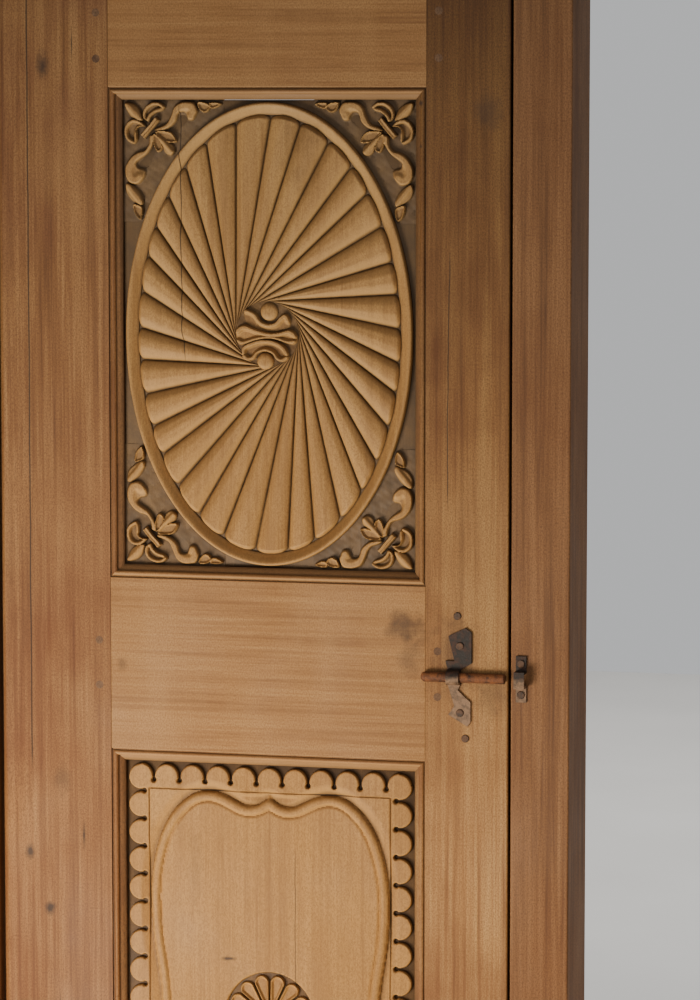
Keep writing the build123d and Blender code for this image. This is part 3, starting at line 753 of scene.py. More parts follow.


# Colour that the timbers darken to with depth: grime and painted shade in recesses
GRIME_AND_SHADE = (0.07, 0.046, 0.026)
STILE_WOOD = WoodFinish(
    "stile_wood_worn", "stile_wood", Grain.UPRIGHT, (0.117, 0.038, 0.009), (0.279, 0.11, 0.029),
    (0.45, 0.209, 0.065), GRIME_AND_SHADE, 0.003, 0.009, 0.55, 1.0, 0.6, top_shade_tint=(0.74, 0.86, 1.05),
    stains=(
        (-0.247, 1.707, 0.009, 0.016, 0.95), (-0.246, 0.716, 0.008, 0.01, 0.95),
        (-0.27, 0.783, 0.007, 0.01, 0.9), (0.281, 1.654, 0.02, 0.022, 0.5), (0.245, 1.03, 0.03, 0.055, 0.45),
        (0.29, 0.99, 0.025, 0.03, 0.4), (0.203, 1.664, 0.0035, 0.0035, 1.0),
        (0.203, 1.615, 0.003, 0.003, 1.0), (-0.23, 0.87, 0.012, 0.02, 0.4),
    ),
    cracks=(
        (-0.267, 0.88, 1.83, 0.0016, 0.001), (-0.212, 1.71, 1.755, 0.001, 0.001),
        (-0.203, 0.785, 0.825, 0.0022, 0.001), (0.236, 1.2, 1.5, 0.0008, 0.003),
        (-0.235, 0.3, 0.62, 0.0009, 0.003),
    ),
)
# Copy of the stile finish for the lock stile: paler all over and far darker towards its top, a painted
# highlight low down and painted shade high up, for light from below
LOCK_STILE_LIT_WOOD = replace(
    STILE_WOOD, name="lock_stile_wood_lit_and_shaded", dark=(0.18, 0.068, 0.016), middle=(0.45, 0.205, 0.058),
    light=(0.65, 0.35, 0.115), top_shade_tint=(0.22, 0.19, 0.14),
)
RAIL_WOOD = WoodFinish(
    "rail_wood_worn", "rail_wood", Grain.ACROSS, (0.22, 0.088, 0.024), (0.42, 0.195, 0.058),
    (0.56, 0.29, 0.098), GRIME_AND_SHADE, 0.003, 0.009, 0.55, 0.9, bands=0.35,
    stains=(
        (0.186, 1.066, 0.027, 0.02, 0.7), (0.192, 1.03, 0.017, 0.03, 0.4), (-0.155, 1.01, 0.008, 0.01, 0.4),
    ),
)
PANEL_WOOD = WoodFinish(
    "panel_wood_carved", "panel_wood", Grain.UPRIGHT, (0.27, 0.118, 0.03), (0.47, 0.225, 0.058),
    (0.62, 0.32, 0.088), (0.035, 0.018, 0.008), 0.0115, 0.0142, 0.92, 0.7, bands=0.22,
    top_shade_tint=(0.77, 0.9, 1.2),
    stains=(
        (-0.028, 0.664, 0.009, 0.0025, 0.9), (0.06, 1.62, 0.03, 0.06, 0.25), (-0.07, 0.77, 0.012, 0.05, 0.14),
    ),
    cracks=((-0.084, 1.36, 1.67, 0.0009, 0.007), (0.052, 0.62, 0.8, 0.0006, 0.002)),
)
# Corner grounds: a greyer colour with depth, grime and painted shade, and wider, stronger painted shade in
# their inner corners
CORNER_WOOD = replace(
    PANEL_WOOD, name="corner_wood_grime_and_shade", grime_and_shade=(0.085, 0.056, 0.032), grime_and_shade_from=0.0095, grime_and_shade_to=0.0142,
    shade_reach=0.008, corner_shade=0.9,
)
FRAME_WOOD = WoodFinish(
    "frame_wood_worn", "frame_wood", Grain.UPRIGHT, (0.119, 0.045, 0.014), (0.266, 0.111, 0.034),
    (0.399, 0.184, 0.065), GRIME_AND_SHADE, 0.2, 0.4, 0.3, 1.0, 0.3,
)
BEAM_WOOD = replace(FRAME_WOOD, name="beam_wood_worn", grain=Grain.ACROSS)
PEG_WOOD = WoodFinish(
    "peg_wood_dark", "peg_wood", Grain.DEPTH, (0.08, 0.034, 0.014), (0.17, 0.08, 0.034),
    (0.28, 0.15, 0.07), GRIME_AND_SHADE, 0.2, 0.4, 0.3,
)
STRAP_IRON = IronFinish(
    "strap_iron_forged", "forged_iron", (0.028, 0.019, 0.013), (0.075, 0.028, 0.011), 0.5, 0.6,
    dust=(0.33, 0.19, 0.1), dust_to=1.012,
)
BOLT_IRON = IronFinish(
    "bolt_iron_rusty", "rusty_iron", (0.055, 0.024, 0.012), (0.27, 0.088, 0.022), 0.85, 0.7,
)
NAIL_IRON = IronFinish("nail_iron_rusty", "nail_iron", (0.07, 0.045, 0.03), (0.16, 0.075, 0.034), 0.7, 0.65)


def dress(obj: bpy.types.Object, material: bpy.types.Material) -> None:
    """Gives every face of an object one material."""
    obj.data.materials.clear()
    obj.data.materials.append(material)


def hand_over(obj: bpy.types.Object, body: str, slot: str, *nodes: str) -> None:
    """Lets a finished piece ride on a body and stand for CAD nodes.

    Args:
        obj: the piece.
        body: body that it moves with.
        slot: material slot of the record; not used.
        nodes: nodes that it replaces.
    """
    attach(obj, body)
    if nodes:
        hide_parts(*nodes)
    LOG.info("%s: %d faces on %s", obj.name, len(obj.data.polygons), body)


# Upper panel


@dataclass
class Oval:
    """The oval that bounds the swirl, relative to the panel's centre."""

    half_w: float
    half_h: float

    def at(self, share: Array, inset: float) -> tuple[Array, Array]:
        """Places on the oval, clockwise from the top by even lengths.

        Args:
            share: how far round, from 0 to 1.
            inset: distance inside the outer edge.

        Returns:
            Across and upright positions.
        """
        angle = np.linspace(0.0, 2 * np.pi, 2001)
        w, h = self.half_w - inset, self.half_h - inset
        x, z = w * np.sin(angle), h * np.cos(angle)
        run = np.concatenate([[0.0], np.cumsum(np.hypot(np.diff(x), np.diff(z)))])
        turn = np.interp(np.mod(share, 1.0), run / run[-1], angle)
        return w * np.sin(turn), h * np.cos(turn)


@dataclass
class Fan:
    """Swirl of reeds between the hub and the oval bead."""

    oval: Oval
    reeds: int = 33
    rim_w: float = 14.5
    swirl_r: float = 37.5
    swirl_x: float = -2.0
    swirl_z: float = 1.5
    groove: float = 13.9
    crest: float = 7.4
    floor: float = 15.5
    across: int = 14
    along: int = 44
    tip_rows: int = 12
    tip_l: float = 9.0
    root_gap: float = 0.6
    full_w: float = 39.0
    full_rise_w: float = 36.0
    row_crowding: float = 1.25
    uneven_rise: float = 0.07
    chisel_broad: float = 0.16
    chisel_fine: float = 0.12
    tool_marks: float = 0.16
    tip_gap: float = 0.3
    tip_curve: float = 5.4
    parting: float = 0.7

    def build(self, centre: Vector) -> bpy.types.Object:
        """Makes the reeds as one closed sheet.

        Args:
            centre: middle of the panel, in metres.

        Returns:
            The reeds.
        """
        columns = self.reeds * self.across
        rows = self.along + self.tip_rows
        bm = bmesh.new()
        bmesh.ops.create_grid(bm, x_segments=columns, y_segments=rows, size=0.5)
        flat = points_of(bm)
        share = flat[:, 0] + 0.5
        row = np.round((flat[:, 1] + 0.5) * rows)
        uneven = 0.0016 * np.sin(share * 10 * np.pi + 1.0) + 0.0013 * np.sin(share * 22 * np.pi + 2.0)
        px, pz = self.oval.at(share + uneven, self.rim_w - 1.0)
        rx, rz = px - self.swirl_x, pz - self.swirl_z
        away = np.hypot(rx, rz)
        turn = np.arctan2(rz, rx) + np.arccos(self.swirl_r / away)
        root_x = self.swirl_x + self.swirl_r * np.cos(turn)
        root_z = self.swirl_z + self.swirl_r * np.sin(turn)
        length = np.hypot(px - root_x, pz - root_z)
        body = (row / self.along) ** self.row_crowding * (length - self.tip_l - self.root_gap) + self.root_gap
        tip = length - self.tip_l + (row - self.along) / self.tip_rows * self.tip_l
        run = np.where(row <= self.along, body, tip)
        x = root_x + (px - root_x) / length * run
        z = root_z + (pz - root_z) / length * run
        depth = self.depth(share, run, length) + self.tool_marks * wobble(x, z, 3.3, 6.0)
        place_points(bm, np.column_stack([centre.x + x * MM, depth * MM, centre.z + z * MM]))
        bmesh.ops.remove_doubles(bm, verts=bm.verts, dist=2e-5)
        close_back(bm, self.floor * MM + 0.002)
        return finish_mesh("swirl_reeds", bm, 60.0)

    def depth(self, share: Array, run: Array, length: Array) -> Array:
        """Depth of the reeds.

        Args:
            share: how far round the oval.
            run: distance from the swirl ring along the reed.
            length: whole length of the reed.

        Returns:
            The depths.
        """
        phase = np.mod(share * self.reeds, 1.0)
        number = np.floor(share * self.reeds + 1e-6) % self.reeds
        side = np.abs(2 * phase - 1)
        width = self.full_w * run / length
        rise = (self.groove - self.crest) * np.minimum(width / self.full_rise_w, 1.0) ** 0.6
        rise = rise * (1.0 + self.uneven_rise * np.sin(number * 2.7))
        profile = (1 - side ** 2.2) ** 0.85
        broad = self.chisel_broad * np.sin(side * 9.0 + number * 1.9) * (1 - side)
        chisel = broad + self.chisel_fine * np.sin(phase * 23.0 + number)
        profile = profile + chisel / (self.groove - self.crest)
        from_tip = length - run - self.tip_gap - self.tip_curve * side ** 4.0
        blunt = np.sqrt(np.clip(ease(-0.6, 5.0, from_tip), 0.0, 1.0))
        groove = self.groove + self.parting * ease(0.9, 1.0, side)
        return groove - rise * profile * blunt + (1 - ease(-1.0, 0.5, from_tip)) * (self.floor - groove)


@dataclass
class Rim:
    """Bead round the reeds: a steep outer side, a rounded arris and a long inner slope."""

    oval: Oval
    rows: int = 300
    tool_marks: float = 0.25
    section: Line = (
        (-0.5, 16.5), (-0.1, 13.0), (0.2, 9.4), (0.7, 7.4), (1.5, 6.5), (2.8, 6.2), (4.4, 6.6), (6.4, 7.7),
        (8.6, 9.2), (10.8, 10.9), (12.9, 12.3), (14.6, 13.2), (15.4, 16.5),
    )

    def build(self, centre: Vector) -> bpy.types.Object:
        """Makes the bead as a closed ring.

        Args:
            centre: middle of the panel, in metres.

        Returns:
            The bead.
        """
        bm = bmesh.new()
        columns = len(self.section) * 2 - 2
        bmesh.ops.create_grid(bm, x_segments=self.rows, y_segments=columns, size=0.5)
        flat = points_of(bm)
        share = flat[:, 0] + 0.5
        across = (flat[:, 1] + 0.5) * (len(self.section) - 1)
        stations = np.arange(len(self.section))
        inset = np.interp(across, stations, [p[0] for p in self.section])
        depth = np.interp(across, stations, [p[1] for p in self.section])
        ox, oz = self.oval.at(share, 0.0)
        ix, iz = self.oval.at(share, 10.0)
        gap = np.hypot(ox - ix, oz - iz)
        x = ox + (ix - ox) / gap * inset
        z = oz + (iz - oz) / gap * inset
        depth = depth + self.tool_marks * wobble(x, z, 30.0, 1.0) * ease(15.0, 9.0, depth)
        place_points(bm, np.column_stack([centre.x + x * MM, depth * MM, centre.z + z * MM]))
        bmesh.ops.remove_doubles(bm, verts=bm.verts, dist=2e-5)
        edges = [e for e in bm.edges if e.is_boundary]
        bmesh.ops.bridge_loops(bm, edges=edges)
        bmesh.ops.recalc_face_normals(bm, faces=bm.faces)
        return finish_mesh("oval_rim", bm)


@dataclass(frozen=True)
class Blade:
    """Carved leaf: a closed outline, with raised ridges over a hollow or with a raised edge all round."""

    outline: Line
    crest: float = 8.0
    hollow: float = 11.2
    edge: float = 1.6
    lip: float = 3.4
    ridges: tuple[Line, ...] = ()
    ridge_w: float = 1.2
    fall_w: float = 4.6

    def depth(self, x: Array, z: Array, ground: float) -> tuple[Array, Array]:
        """Depth of the leaf over its own ground.

        Args:
            x: across positions.
            z: upright positions.
            ground: depth of the ground.

        Returns:
            The depths, and the distance inside the outline.
        """
        d = inside(x, z, rounded(self.outline, True))
        wall = ease(-0.4, self.edge, d)
        if self.ridges:
            lines = [to_line(x, z, rounded(line, False))[0] for line in self.ridges]
            dish = ease(self.ridge_w, self.fall_w, np.minimum.reduce(lines))
        else:
            dish = ease(self.edge * 0.9, self.lip, d) * (d > 0)
        top = self.crest + (self.hollow - self.crest) * dish
        return ground - (ground - top) * wall, d


def carve(x: Array, z: Array, depth: Array, blades: tuple[Blade, ...], ground: float) -> Array:
    """Lays leaves over a ground, one after the other.

    Args:
        x: across positions.
        z: upright positions.
        depth: depth so far.
        blades: the leaves, from the lowest to the topmost.
        ground: depth of the plain ground.

    Returns:
        The new depths.
    """
    for blade in blades:
        leaf, d = blade.depth(x, z, ground)
        depth = np.where(d > 0.9, leaf, np.where(d > -0.4, np.minimum(leaf, depth), depth))
    return depth


# Corner scroll: distances in from the two sight edges that meet at the corner
CORNER_BODIES = (
    Blade(
        ((32.6, 41.0), (31.4, 50.0), (26.6, 57.2), (18.0, 60.0), (9.6, 66.0), (3.4, 76.0), (2.6, 86.7),
         (6.5, 95.4), (13.7, 98.2), (20.4, 96.8), (26.4, 90.0), (28.3, 83.2), (25.6, 79.6), (19.3, 77.9),
         (17.5, 73.0), (22.4, 68.4), (30.6, 62.2), (37.4, 52.0), (40.0, 40.3)),
        8.1, 10.6, 2.2, ridge_w=2.0, fall_w=9.0,
        ridges=(((37.2, 40.0), (34.6, 51.5), (27.0, 61.4), (14.0, 67.4), (8.0, 77.0), (8.6, 87.0),
                 (14.4, 92.6), (21.4, 89.8)),),
    ),
    Blade(
        ((38.6, 35.6), (47.4, 36.6), (57.0, 33.0), (64.8, 25.6), (68.3, 16.2), (73.8, 14.9), (76.5, 18.0),
         (79.2, 24.0), (85.6, 24.0), (89.3, 18.0), (91.2, 11.8), (87.4, 3.4), (80.2, 1.4), (71.1, 2.0),
         (62.4, 7.3), (57.4, 18.9), (52.4, 27.4), (40.9, 31.8)),
        8.1, 10.6, 2.2, ridge_w=2.0, fall_w=9.0,
        ridges=(((39.4, 33.6), (50.0, 32.2), (59.6, 24.6), (64.6, 12.4), (72.4, 6.8), (81.0, 7.0),
                 (86.0, 12.4), (84.0, 19.4)),),
    ),
)
CORNER_BLADES = (
    Blade(
        ((4.6, 96.4), (3.0, 105.0), (7.0, 113.0), (14.4, 119.2), (23.0, 122.2), (25.2, 115.6), (20.0, 105.6),
         (12.4, 98.6)),
        8.0, 11.0, 1.4, ridges=(((5.4, 97.4), (12.6, 106.4), (23.4, 119.6)),), fall_w=5.5,
    ),
    Blade(((13.0, 120.0), (12.8, 128.4), (16.6, 135.8), (22.0, 138.8), (25.0, 131.0), (23.6, 123.0)),
          8.4, 11.2, 1.3),
    Blade(((90.0, 3.0), (91.6, 10.4), (97.4, 14.8), (103.6, 13.4), (106.6, 7.0), (99.0, 2.4)),
          8.0, 10.8, 1.3),
    Blade(((104.0, 3.6), (106.4, 10.2), (113.0, 9.8), (120.0, 5.0), (111.0, 2.4)), 8.4, 10.6, 1.2, 3.0),
    Blade(((37.6, 39.0), (36.4, 49.4), (41.6, 60.4), (48.4, 57.4), (48.4, 48.0), (44.0, 41.2)),
          7.8, 11.2, 1.3),
    Blade(((39.4, 37.0), (47.6, 46.9), (57.6, 50.0), (66.0, 48.0), (60.4, 37.8), (49.4, 35.2)),
          7.8, 11.2, 1.3),
    Blade(
        ((39.6, 39.6), (46.6, 51.4), (50.4, 60.6), (57.6, 64.6), (63.6, 60.4), (61.6, 52.4), (53.0, 46.6)),
        7.2, 10.6, 1.4, ridges=(((40.0, 40.0), (52.0, 51.4), (60.0, 60.0)),), ridge_w=0.7,
    ),
    Blade(
        ((24.6, 24.6), (12.6, 22.0), (5.0, 13.4), (3.0, 3.4), (13.0, 4.4), (20.6, 10.4), (24.2, 17.6)),
        7.8, 10.8, 1.6, ridges=(((3.6, 4.0), (12.6, 12.4), (24.0, 24.0)),), ridge_w=0.8, fall_w=6.0,
    ),
    Blade(
        ((14.0, 51.4), (5.0, 46.4), (2.2, 36.8), (4.6, 27.8), (11.9, 22.3), (21.0, 23.2), (28.4, 30.6),
         (21.0, 31.4), (18.0, 35.0), (18.8, 41.0), (18.0, 47.6)),
        7.2, 12.6, 1.2, ridge_w=0.8, fall_w=3.8,
        ridges=(((27.0, 29.4), (19.6, 25.2), (12.4, 24.6), (6.6, 29.4), (4.4, 37.0), (6.8, 44.8),
                 (14.0, 49.4)),
                ((27.0, 30.0), (19.6, 32.6), (16.8, 38.6), (17.0, 47.0))),
    ),
    Blade(
        ((26.2, 22.4), (24.7, 15.3), (28.3, 7.3), (36.5, 2.6), (45.6, 2.9), (52.0, 7.9), (48.4, 12.8),
         (40.4, 15.6), (35.4, 20.6), (33.0, 25.8)),
        7.2, 12.6, 1.2, ridge_w=0.8, fall_w=3.8,
        ridges=(((27.6, 23.4), (26.8, 15.6), (30.2, 9.0), (37.4, 4.8), (45.0, 5.0), (50.6, 8.4)),
                ((30.6, 24.4), (34.0, 18.4), (40.0, 13.6), (48.0, 11.0))),
    ),
)
CORNER_HOLES = ((25.6, 74.6, 4.6), (72.4, 22.2, 4.8))
CORNER_VALLEYS = (((25.4, 73.0), (31.0, 64.0), (35.4, 56.0)), ((70.5, 22.5), (62.0, 32.0), (55.0, 38.0)))
TIE_ENDS = ((24.6, 43.1), (42.9, 21.5))


@dataclass
class Corner:
    """Leaf scroll in one corner of the upper panel."""

    side_x: int
    side_z: int
    half_w: float
    half_h: float
    ground: float = 14.7
    reach_x: float = 121.0
    reach_z: float = 141.0
    under_edge: float = 0.6
    pitch: float = 0.9
    back: float = 17.5
    hole_floor: float = 17.0
    hole_wall: float = 1.8
    valley: float = 1.6
    valley_w: float = 7.0
    tie_half_w: float = 3.7
    tie_rise: float = 7.4
    tie_ridge: float = 0.55
    stray: float = 0.35
    tool_marks: float = 0.5

    def build(self, centre: Vector) -> bpy.types.Object:
        """Makes the scroll as one carved sheet.

        Args:
            centre: middle of the panel, in metres.

        Returns:
            The scroll.
        """
        xs = sorted(self.side_x * (self.half_w + reach) for reach in (self.under_edge, -self.reach_x))
        zs = sorted(self.side_z * (self.half_h + reach) for reach in (self.under_edge, -self.reach_z))
        name = "scroll_" + ("top" if self.side_z > 0 else "foot") + ("_right" if self.side_x > 0 else "_left")
        return Sheet(name, *xs, *zs, self.pitch, self.back).build(centre, self.depth)

    def depth(self, x: Array, z: Array) -> Array:
        """Depth of the scroll.

        Args:
            x: across positions from the panel's centre.
            z: upright positions from the panel's centre.

        Returns:
            The depths.
        """
        u = self.half_w - self.side_x * x
        v = self.half_h - self.side_z * z
        u = u + self.stray * wobble(x, z, 9.0, 3.0 + self.side_x)
        v = v + self.stray * wobble(z, x, 9.0, 5.0 + self.side_z)
        depth = self.ground + self.tool_marks * wobble(x, z, 6.0, 2.0)
        for place in CORNER_VALLEYS:
            d, _, _ = to_line(u, v, rounded(place, False))
            depth = depth + self.valley * ease(self.valley_w, 0.0, d)
        depth = carve(u, v, depth, CORNER_BODIES + CORNER_BLADES, self.ground)
        for hole_u, hole_v, r in CORNER_HOLES:
            sunk = ease(r, r - self.hole_wall, np.hypot(u - hole_u, v - hole_v))
            depth = depth + (self.hole_floor - depth) * sunk
        return self.tie(u, v, depth)

    def tie(self, u: Array, v: Array, depth: Array) -> Array:
        """Adds the grooved band that ties the stems.

        Args:
            u: distance in from the side edge.
            v: distance in from the top or foot edge.
            depth: depth so far.

        Returns:
            The new depths.
        """
        start, end = np.array(TIE_ENDS[0]), np.array(TIE_ENDS[1])
        along = (end - start) / np.hypot(*(end - start))
        run = (u - start[0]) * along[0] + (v - start[1]) * along[1]
        off = (u - start[0]) * along[1] - (v - start[1]) * along[0]
        half_l = np.hypot(*(end - start)) / 2
        edge = np.minimum(self.tie_half_w - np.abs(off), half_l - np.abs(run - half_l))
        ridges = self.tie_ridge * np.cos(off / self.tie_half_w * 2.0 * np.pi)
        band = self.ground - self.tie_rise * ease(-0.2, 1.0, edge) + ridges * ease(0.0, 1.0, edge)
        return np.where(edge > -0.2, np.minimum(band, depth), depth)


# Knot shapes, from the panel's centre
UPPER_CUP = Blade(
    ((-28.4, 29.4), (-21.4, 28.8), (-14.0, 24.6), (-9.4, 18.0), (-4.0, 14.6), (1.4, 13.6), (8.0, 15.4),
     (12.4, 20.4), (18.0, 25.0), (23.6, 23.4), (26.0, 16.6), (25.0, 9.0), (15.7, 6.0), (5.3, 3.6),
     (-7.1, 4.6), (-17.4, 7.6), (-26.0, 13.0), (-29.4, 21.0)),
    7.4, 12.6, 1.5, ridge_w=1.3, fall_w=5.4,
    ridges=(((-27.0, 28.4), (-21.0, 26.8), (-15.4, 22.8), (-11.0, 17.2), (-5.0, 12.6), (1.4, 11.4),
             (9.0, 13.4), (14.4, 18.4), (19.6, 22.0), (23.4, 17.4)),),
)
LOWER_CUP = Blade(
    ((-32.4, -19.7), (-30.4, -13.0), (-21.6, -8.0), (-11.2, -4.9), (0.1, -4.4), (10.5, -6.7), (19.6, -11.9),
     (24.0, -18.7), (25.0, -25.0), (21.9, -29.4), (15.2, -30.8), (9.0, -28.0), (4.3, -21.8), (-4.0, -19.0),
     (-12.0, -21.6), (-16.4, -28.0), (-24.7, -30.0), (-30.6, -26.8)),
    7.4, 12.8, 1.4, ridge_w=1.1, fall_w=4.4,
    ridges=(((-30.2, -21.0), (-28.0, -14.6), (-20.6, -10.8), (-11.0, -7.9), (0.0, -7.4), (9.6, -9.6),
             (17.6, -14.4), (22.0, -21.0)),
            ((-29.0, -24.6), (-24.0, -27.8), (-17.8, -26.2), (-13.0, -20.6), (-4.0, -17.4), (5.0, -20.2),
             (10.0, -26.4), (15.6, -29.0), (22.4, -25.8))),
)
TIE_BAND = Blade(
    ((-39.0, 3.2), (-37.4, 9.0), (-30.0, 12.2), (-23.7, 10.8), (-13.3, 6.8), (1.2, 3.2), (13.6, 4.2),
     (24.0, 7.0), (31.0, 5.0), (34.4, -0.8), (34.6, -6.4), (30.2, -10.4), (22.0, -9.4), (10.0, -5.6),
     (-1.5, -4.4), (-15.0, -6.6), (-29.0, -11.6), (-35.4, -10.6), (-39.0, -4.6)),
    6.6, 10.8, 1.5, ridge_w=1.3,
    ridges=(((-36.6, 4.0), (-30.0, 8.4), (-22.0, 7.4), (-12.0, 3.9), (1.2, 0.9), (13.0, 1.6), (24.0, 4.2),
             (31.8, 0.0)),
            ((-36.0, -7.4), (-29.0, -9.4), (-15.0, -5.2), (-1.5, -3.2), (11.0, -4.4), (23.0, -8.0),
             (31.4, -7.6))),
)


@dataclass
class Knot:
    """Centre knot: balls above and below, two hollowed cups and a waisted tie."""

    radius: float = 41.5
    floor: float = 13.8
    back: float = 16.5
    pitch: float = 0.62
    ball_rise: float = 5.6
    keel: float = 0.5
    stray: float = 0.3
    tool_marks: float = 0.35
    balls: tuple[Triple, ...] = ((0.7, 27.0, 10.9), (-4.0, -30.1, 10.4))

    def build(self, centre: Vector) -> bpy.types.Object:
        """Makes the knot as one carved disc.

        Args:
            centre: middle of the panel, in metres.

        Returns:
            The knot.
        """
        r = self.radius
        sheet = Sheet("centre_knot", -r, r, -r, r, self.pitch, self.back)
        return sheet.build(centre, self.depth, lambda x, z: r - 1.0 - np.hypot(x + 2, z - 1))

    def depth(self, x: Array, z: Array) -> Array:
        """Depth of the knot.

        Args:
            x: across positions from the panel's centre.
            z: upright positions from the panel's centre.

        Returns:
            The depths.
        """
        x = x + self.stray * wobble(x, z, 7.0, 4.0)
        depth = self.floor + self.tool_marks * wobble(x, z, 4.0, 1.0)
        for ball_x, ball_z, r in self.balls:
            away = np.hypot(x - ball_x, z - ball_z) / r
            high = np.clip(1 - away ** 3.0, 0.0, 1.0) ** 0.5
            keel = self.keel * ease(1.8, 0.0, np.abs(x - ball_x)) * ease(1.0, 0.4, away)
            depth = np.minimum(depth, self.floor + 0.6 - self.ball_rise * high - keel)
        return carve(x, z, depth, (UPPER_CUP, LOWER_CUP, TIE_BAND), self.floor)


@dataclass
class Panel:
    """A carved board of the leaf: its place, its plain back and the hand-over of its pieces."""

    workshop: Workshop
    node: str
    ground: float
    body: str = "leaf"
    tongue: float = 8.0
    board_gap: float = 0.4
    board_edge: float = 0.6

    def __post_init__(self) -> None:
        """Takes the panel's place and size from the frame."""
        low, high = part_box(self.node)
        self.centre = (low + high) / 2
        self.back = high.y / MM
        self.half_w = (high.x - low.x) / 2 / MM - self.tongue
        self.half_h = (high.z - low.z) / 2 / MM - self.tongue

    def board(self, name: str) -> bpy.types.Object:
        """Plain board behind the panel's carving.

        Args:
            name: name of the piece.

        Returns:
            The board.
        """
        bm = bmesh.new()
        bmesh.ops.create_cube(bm, size=1.0)
        width = 2 * (self.half_w - self.board_gap) * MM
        height = 2 * (self.half_h - self.board_gap) * MM
        middle = (self.back + self.ground) / 2 * MM
        bmesh.ops.scale(bm, vec=(width, (self.back - self.ground) * MM, height), verts=bm.verts)
        bmesh.ops.translate(bm, vec=(self.centre.x, middle, self.centre.z), verts=bm.verts)
        bmesh.ops.bevel(bm, geom=bm.edges[:], offset=self.board_edge * MM, segments=2, profile=0.5,
                        affect="EDGES", material=-1)
        return finish_mesh(name, bm, 40.0)

    def hand_in(self, piece: bpy.types.Object, finish: WoodFinish) -> None:
        """Dresses a finished piece and lets it stand for the panel."""
        dress(piece, self.workshop.finish(finish))
        hand_over(piece, self.body, finish.slot, self.node)


@dataclass
class UpperPanel(Panel):
    """Carved board with the swirl, its rim, the knot and four corner scrolls."""

    node: str = "upper_panel"
    ground: float = 15.0
    oval_gap_x: float = 3.4
    oval_gap_z: float = 2.6

    def build(self) -> None:
        """Builds and dresses every piece of the panel."""
        oval = Oval(self.half_w - self.oval_gap_x, self.half_h - self.oval_gap_z)
        self.hand_in(self.board("upper_board"), CORNER_WOOD)
        for piece in (Fan(oval), Rim(oval), Knot()):
            self.hand_in(piece.build(self.centre), PANEL_WOOD)
        for side_x in (-1, 1):
            for side_z in (-1, 1):
                corner = Corner(side_x, side_z, self.half_w, self.half_h)
                self.hand_in(corner.build(self.centre), CORNER_WOOD)


# Lower panel

# Middle of the cusped moulding in the upper right quarter, from the cusp down: out from the middle, and
# down from the sight edge
CUSPED_LINE = (
    (0.0, 47.3), (10.0, 53.4), (22.0, 56.4), (34.0, 54.8), (45.0, 49.6), (58.0, 43.6), (72.0, 40.6),
    (86.0, 43.0), (97.0, 49.5), (108.0, 59.8), (117.0, 72.6), (124.6, 88.0), (131.4, 110.0),
    (135.6, 134.0), (137.0, 160.0), (136.0, 190.0), (133.6, 214.0), (129.4, 240.0), (125.8, 268.0),
)
CUSPED_WAIST = 124.2


